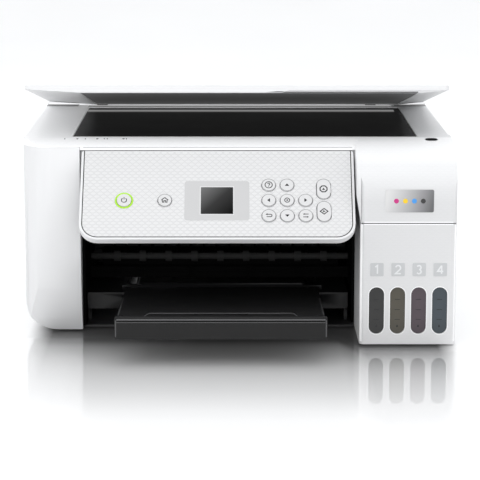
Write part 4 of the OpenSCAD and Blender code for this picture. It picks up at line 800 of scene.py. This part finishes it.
# Painted highlights and a painted groove shadow along the tray's front: height under its upper edge, and
# width
for name, z, width, material in (("tray_glint", -2.6, 0.85, GLINT), ("tray_groove_shade", -4.1, 0.6, SHADOW_AND_EYE_BLACK),
                                 ("tray_low_glint", -4.9, 0.5, DULL_GLINT)):
    patch(name, TRAY_FRONT, round_rect(172.6, width, 0.2, 0, z), material, "tray", "tray_dark")
# Painted highlights on the tray's upright front edges and its top's side edges
end_glints = Mark(-0.02, 0.03)
side_glints = Mark(-0.02, 0.04)
for way in (-1, 1):
    end_glints.fill(round_rect(0.8, 14, 0.2, way * TRAY_END_X, -10))
    side_glints.fill(round_rect(0.9, 92, 0.2, way * TRAY_SIDE_X, 54))
end_glints.make("tray_end_glints", TRAY_FRONT, DULL_GLINT, "tray", "tray_dark")
side_glints.make("tray_side_glints", TRAY, DULL_GLINT, "tray", "tray_dark")

# Painted highlights on the paper stopper's far edge and its two slanting sides
STOPPER = TRAY @ Matrix.Translation(Vector((0, 0, -0.4)) * MM)
stopper_glints = Mark(-0.02, 0.03).fill([(-60.8, 18.4), (60.8, 18.4), (59.9, 21.8), (-59.9, 21.8)])
for way in (-1, 1):
    stopper_glints.line([(way * 63.4, 5), (way * 60.4, 18.6)], 0.9)
stopper_glints.make("stopper_glints", STOPPER, GLINT, "stopper", "tray_dark")

# ---- Deck marks -------------------------------------------------------------------

# The deck's sloping front border, and a little plane in it beside the glass
BORDER = level(0, -117.5, 172.14) @ turned(12.7)
EYE = level(169.3, -120.5, 171.99) @ turned(7)

# Places and widths of the paper size ticks on the border
TICKS = ((-150, 1), (-139, 1.6), (-132, 1), (-121.6, 1.8),
         (-115.5, 1), (-113, 1), (-98.8, 1.8), (-96.3, 1))
ticks = Mark(-0.1, 0.05)
for x, width in TICKS:
    ticks.fill(round_rect(width, 1.8, 0.3, x, 0))
ticks.make("size_ticks", BORDER, PRINT, "scanner", "white_shell")

# A dark eye in the border
patch("eye_rim", EYE, round_rect(12.2, 10.6, 4.4), SLOTS["key_white"], "scanner", "white_shell", low=-0.1)
patch("eye", EYE, round_rect(10.6, 8.8, 3.6), SHADOW_AND_EYE_BLACK, "scanner", "white_shell", -0.1, 0.06)

# Shaded gaps beside the lid's hinges
for side, x in (("left", -170.5), ("right", 170.5)):
    name = "hinge_shade_" + side
    patch(name, level(x, 129, DECK_Z), round_rect(31, 17, 0.5), faint(name, 0.03),
          "scanner", "white_shell")

# Light that comes in behind the glass, on the deck's rear strip, and its image in the glass:
# from, to, the plane's height, the slot and the strength
REAR_X = 3.5
REAR_W = 297
GLASS_Z = DECK_Z - 0.8
for name, y0, y1, z, slot, glow in (
        ("rear_light", 122.5, 130.5, DECK_Z, "white_shell", 0.3),
        ("rear_strip", 114.3, 122.5, DECK_Z, "white_shell", 0.1),
        ("rear_image", 85, 97, GLASS_Z, "platen_glass", 0.2),
        ("rear_image_edge", 79, 85, GLASS_Z, "platen_glass", 0.08)):
    patch(name, level(REAR_X, (y0 + y1) / 2, z), round_rect(REAR_W, y1 - y0, 0.5), faint(name, glow),
          "scanner", slot, high=0.04)

# Painted shade along the crease of the deck's lower front edge over the panel, and a painted highlight on
# the lip under it
HOOD = upright(PANEL_X, FRONT_Y, 0)
HOOD_W = 233
patch("hood_crease_shade", HOOD, round_rect(HOOD_W, 0.8, 0.3, 0, 166.2), TILE_AND_CREASE_SHADE, "scanner", "white_shell")
patch("hood_edge_highlight", HOOD, round_rect(HOOD_W, 1.4, 0.3, 0, 164.95), GLEAM, "scanner", "white_shell")

# A painted highlight low on the deck's left edge, which follows the left cover's outline seen from above
CORNER_RX, CORNER_RY = 25, 30
CORNER_STEPS = 24
EDGE_START_Y = 60
EDGE_END_X = COVER_HIGH.x - 0.5
EDGE_HIGHLIGHT_W = 0.3


def left_edge(o):
    """The left cover's outline from its side round to the panel, set in by o."""
    turns = [math.radians(180 + 90 * i / CORNER_STEPS) for i in range(CORNER_STEPS + 1)]
    curve = [(COVER_LOW.x + CORNER_RX + (CORNER_RX - o) * math.cos(a),
              FRONT_Y + CORNER_RY + (CORNER_RY - o) * math.sin(a)) for a in turns]
    return [(COVER_LOW.x + o, EDGE_START_Y)] + curve + [(EDGE_END_X, FRONT_Y + o)]


patch("deck_edge_left_highlight", level(0, 0, 0), left_edge(0) + left_edge(EDGE_HIGHLIGHT_W)[::-1], SOFT_GLEAM,
      "scanner", "white_shell", 166, 166.8)

# ---- Lid --------------------------------------------------------------------------

# The lid rests a little open: a turn about its hinges takes places on the closed lid there
LID_OPEN = 8.9
LID_AXIS = level(0, 133, 176.3)
LID = LID_AXIS @ turned(-LID_OPEN) @ LID_AXIS.inverted()
# Painted shade in the finger grip's recess: outlines on upright planes through the closed lid
GRIP_WALL_SHADE = [(34.6, 173.22), (157.5, 173.22), (157.5, 174.3), (42.4, 174.3)]
GRIP_END_SHADE = [(25, 173.45), (38, 173.45), (41.6, 174.3), (34.7, 174.3)]
patch("grip_wall_shade", LID @ upright(0, -118, 0), GRIP_WALL_SHADE, SLOTS["lid_pad"], "lid", "white_shell", high=0.15)
patch("grip_end_shade", LID @ upright(0, -125, 0), GRIP_END_SHADE, SLOTS["lid_pad"], "lid", "white_shell", high=0.05)

# ---- Floor ------------------------------------------------------------------------

# The contact shadow's outline: the pillar's foot, the printer's back and its two sides, with
# the widths over which the shadow fades at the sides
PILLAR_FOOT_Y = -125.5
REAR_FOOT_Y = 171
SHADOW_LEFT, LEFT_FADE = -184, 22
SHADOW_RIGHT, RIGHT_FADE = 190, 18
# The tower's foot lies further forward than the pillar's, to the right of this place
STEP_X, STEP_FADE = 88, 22
# Share of the floor's own brightness at distances in millimetres from the printer's foot
SHADOW = ((0, 0.08), (18, 0.12), (31, 0.19), (42, 0.32), (53, 0.43),
          (74, 0.55), (95, 0.66), (125, 0.77), (185, 0.88), (270, 1))
# Strength of the mirror image at the same kind of distances
MIRROR = ((0, 0.15), (14, 0.35), (24, 0.9), (120, 0.85), (200, 0.6), (270, 0.2), (300, 0))
SHADOW_REACH = 300
FLOOR_GLOW = 0.1
FLOOR_SIZE = 12


def studio_floor():
    """A white floor with the printer's fading mirror image and a soft contact shadow."""
    shader = Shader("floor", (0.9, 0.9, 0.9), 0.35, Specular_IOR_Level=0.1,
                    Coat_IOR=1.9, Coat_Roughness=0.03)
    x, y = shader.own_x(), shader.own_y()
    step = shader.share(x, STEP_X, STEP_FADE)
    front = shader.math("ADD", shader.math("MULTIPLY", step, TOWER_Y - PILLAR_FOOT_Y), PILLAR_FOOT_Y)
    ahead = shader.math("SUBTRACT", front, y)
    behind = shader.math("SUBTRACT", y, REAR_FOOT_Y)
    share = shader.math("DIVIDE", shader.math("MAXIMUM", ahead, behind), SHADOW_REACH, clamp=True)
    shadow, mirror = (shader.ramp(share, *((d / SHADOW_REACH, (v, v, v)) for d, v in stops))
                      for stops in (SHADOW, MIRROR))
    left = shader.share(x, SHADOW_LEFT, LEFT_FADE)
    right = shader.share(SHADOW_RIGHT, x, RIGHT_FADE)
    inside = shader.math("MULTIPLY", left, right)
    lost = shader.math("MULTIPLY", inside, shader.math("SUBTRACT", 1, shadow))
    kept = shader.math("SUBTRACT", 1, lost)
    shader.paint(shader.ramp(kept, (0, (0, 0, 0)), (1, shader.color)))
    shader.glow(shader.math("MULTIPLY", kept, FLOOR_GLOW))
    shader.link(mirror, shader.bsdf.inputs["Coat Weight"])
    return shader.vary(0.3, 0.4, 300 * MM).mat


bpy.ops.mesh.primitive_plane_add(size=FLOOR_SIZE)
plane = bpy.context.object
plane.name = "floor"
plane.data.materials.append(studio_floor())

# ---- Backdrop and lights ----------------------------------------------------------


def studio_world():
    """An even white room that is brighter low behind the printer."""
    world = bpy.data.worlds.new("studio")
    world.use_nodes = True
    tree = world.node_tree
    background = tree.nodes["Background"]
    background.inputs["Color"].default_value = (0.975, 0.985, 1, 1)
    way = tree.nodes.new("ShaderNodeSeparateXYZ")
    tree.links.new(tree.nodes.new("ShaderNodeTexCoord").outputs["Generated"], way.inputs[0])

    def fade(axis, start, end, value0, value1):
        """Goes from one value to another as the view's direction along an axis goes from start to end."""
        made = tree.nodes.new("ShaderNodeMapRange")
        sockets = {"From Min": start, "From Max": end, "To Min": value0, "To Max": value1}
        for socket, value in sockets.items():
            made.inputs[socket].default_value = value
        tree.links.new(way.outputs[axis], made.inputs["Value"])
        return made.outputs[0]

    glow = tree.nodes.new("ShaderNodeMath")
    glow.operation = "MULTIPLY_ADD"
    tree.links.new(fade("Y", 0.2, 0.8, 0, 0.55), glow.inputs[0])
    tree.links.new(fade("Z", 0.3, 0.7, 1, 0), glow.inputs[1])
    glow.inputs[2].default_value = 0.8
    tree.links.new(glow.outputs[0], background.inputs["Strength"])
    return world


def softbox(name, place, aim, size, energy):
    light = bpy.data.lights.new(name, "AREA")
    light.shape = "RECTANGLE"
    light.size, light.size_y = size
    light.energy = energy
    lamp = bpy.data.objects.new(name, light)
    lamp.location = place
    lamp.rotation_euler = (Vector(aim) - Vector(place)).to_track_quat("-Z", "Y").to_euler()
    scene.collection.objects.link(lamp)


AIM = (0, 0, 0.1)
LOW_AIM = (0, -0.1, 0.05)

scene.world = studio_world()
softbox("key", (-1.3, -1.8, 1.9), AIM, size=(1.4, 1.0), energy=9)
softbox("fill", (1.7, -1.5, 1.3), AIM, size=(1.2, 1.2), energy=3)
softbox("top", (0, 0.3, 2.4), AIM, size=(2.2, 1.6), energy=12)
softbox("low", (-0.3, -2.2, 0.35), LOW_AIM, size=(1.8, 0.5), energy=9)

# ---- Camera -----------------------------------------------------------------------

CAMERA_SPOT = Vector((-3.8, -1977.5, 417.2)) * MM + BACK
# How far the camera looks down, in degrees
CAMERA_DOWN = 10.2

camera_data = bpy.data.cameras.new("camera")
camera_data.lens = 161.25
camera_data.sensor_width = 36
camera_data.shift_x = 0.0156
camera_data.clip_end = 50
camera = bpy.data.objects.new("camera", camera_data)
camera.location = CAMERA_SPOT
camera.rotation_euler = (math.radians(90 - CAMERA_DOWN), 0, 0)
scene.collection.objects.link(camera)
scene.camera = camera
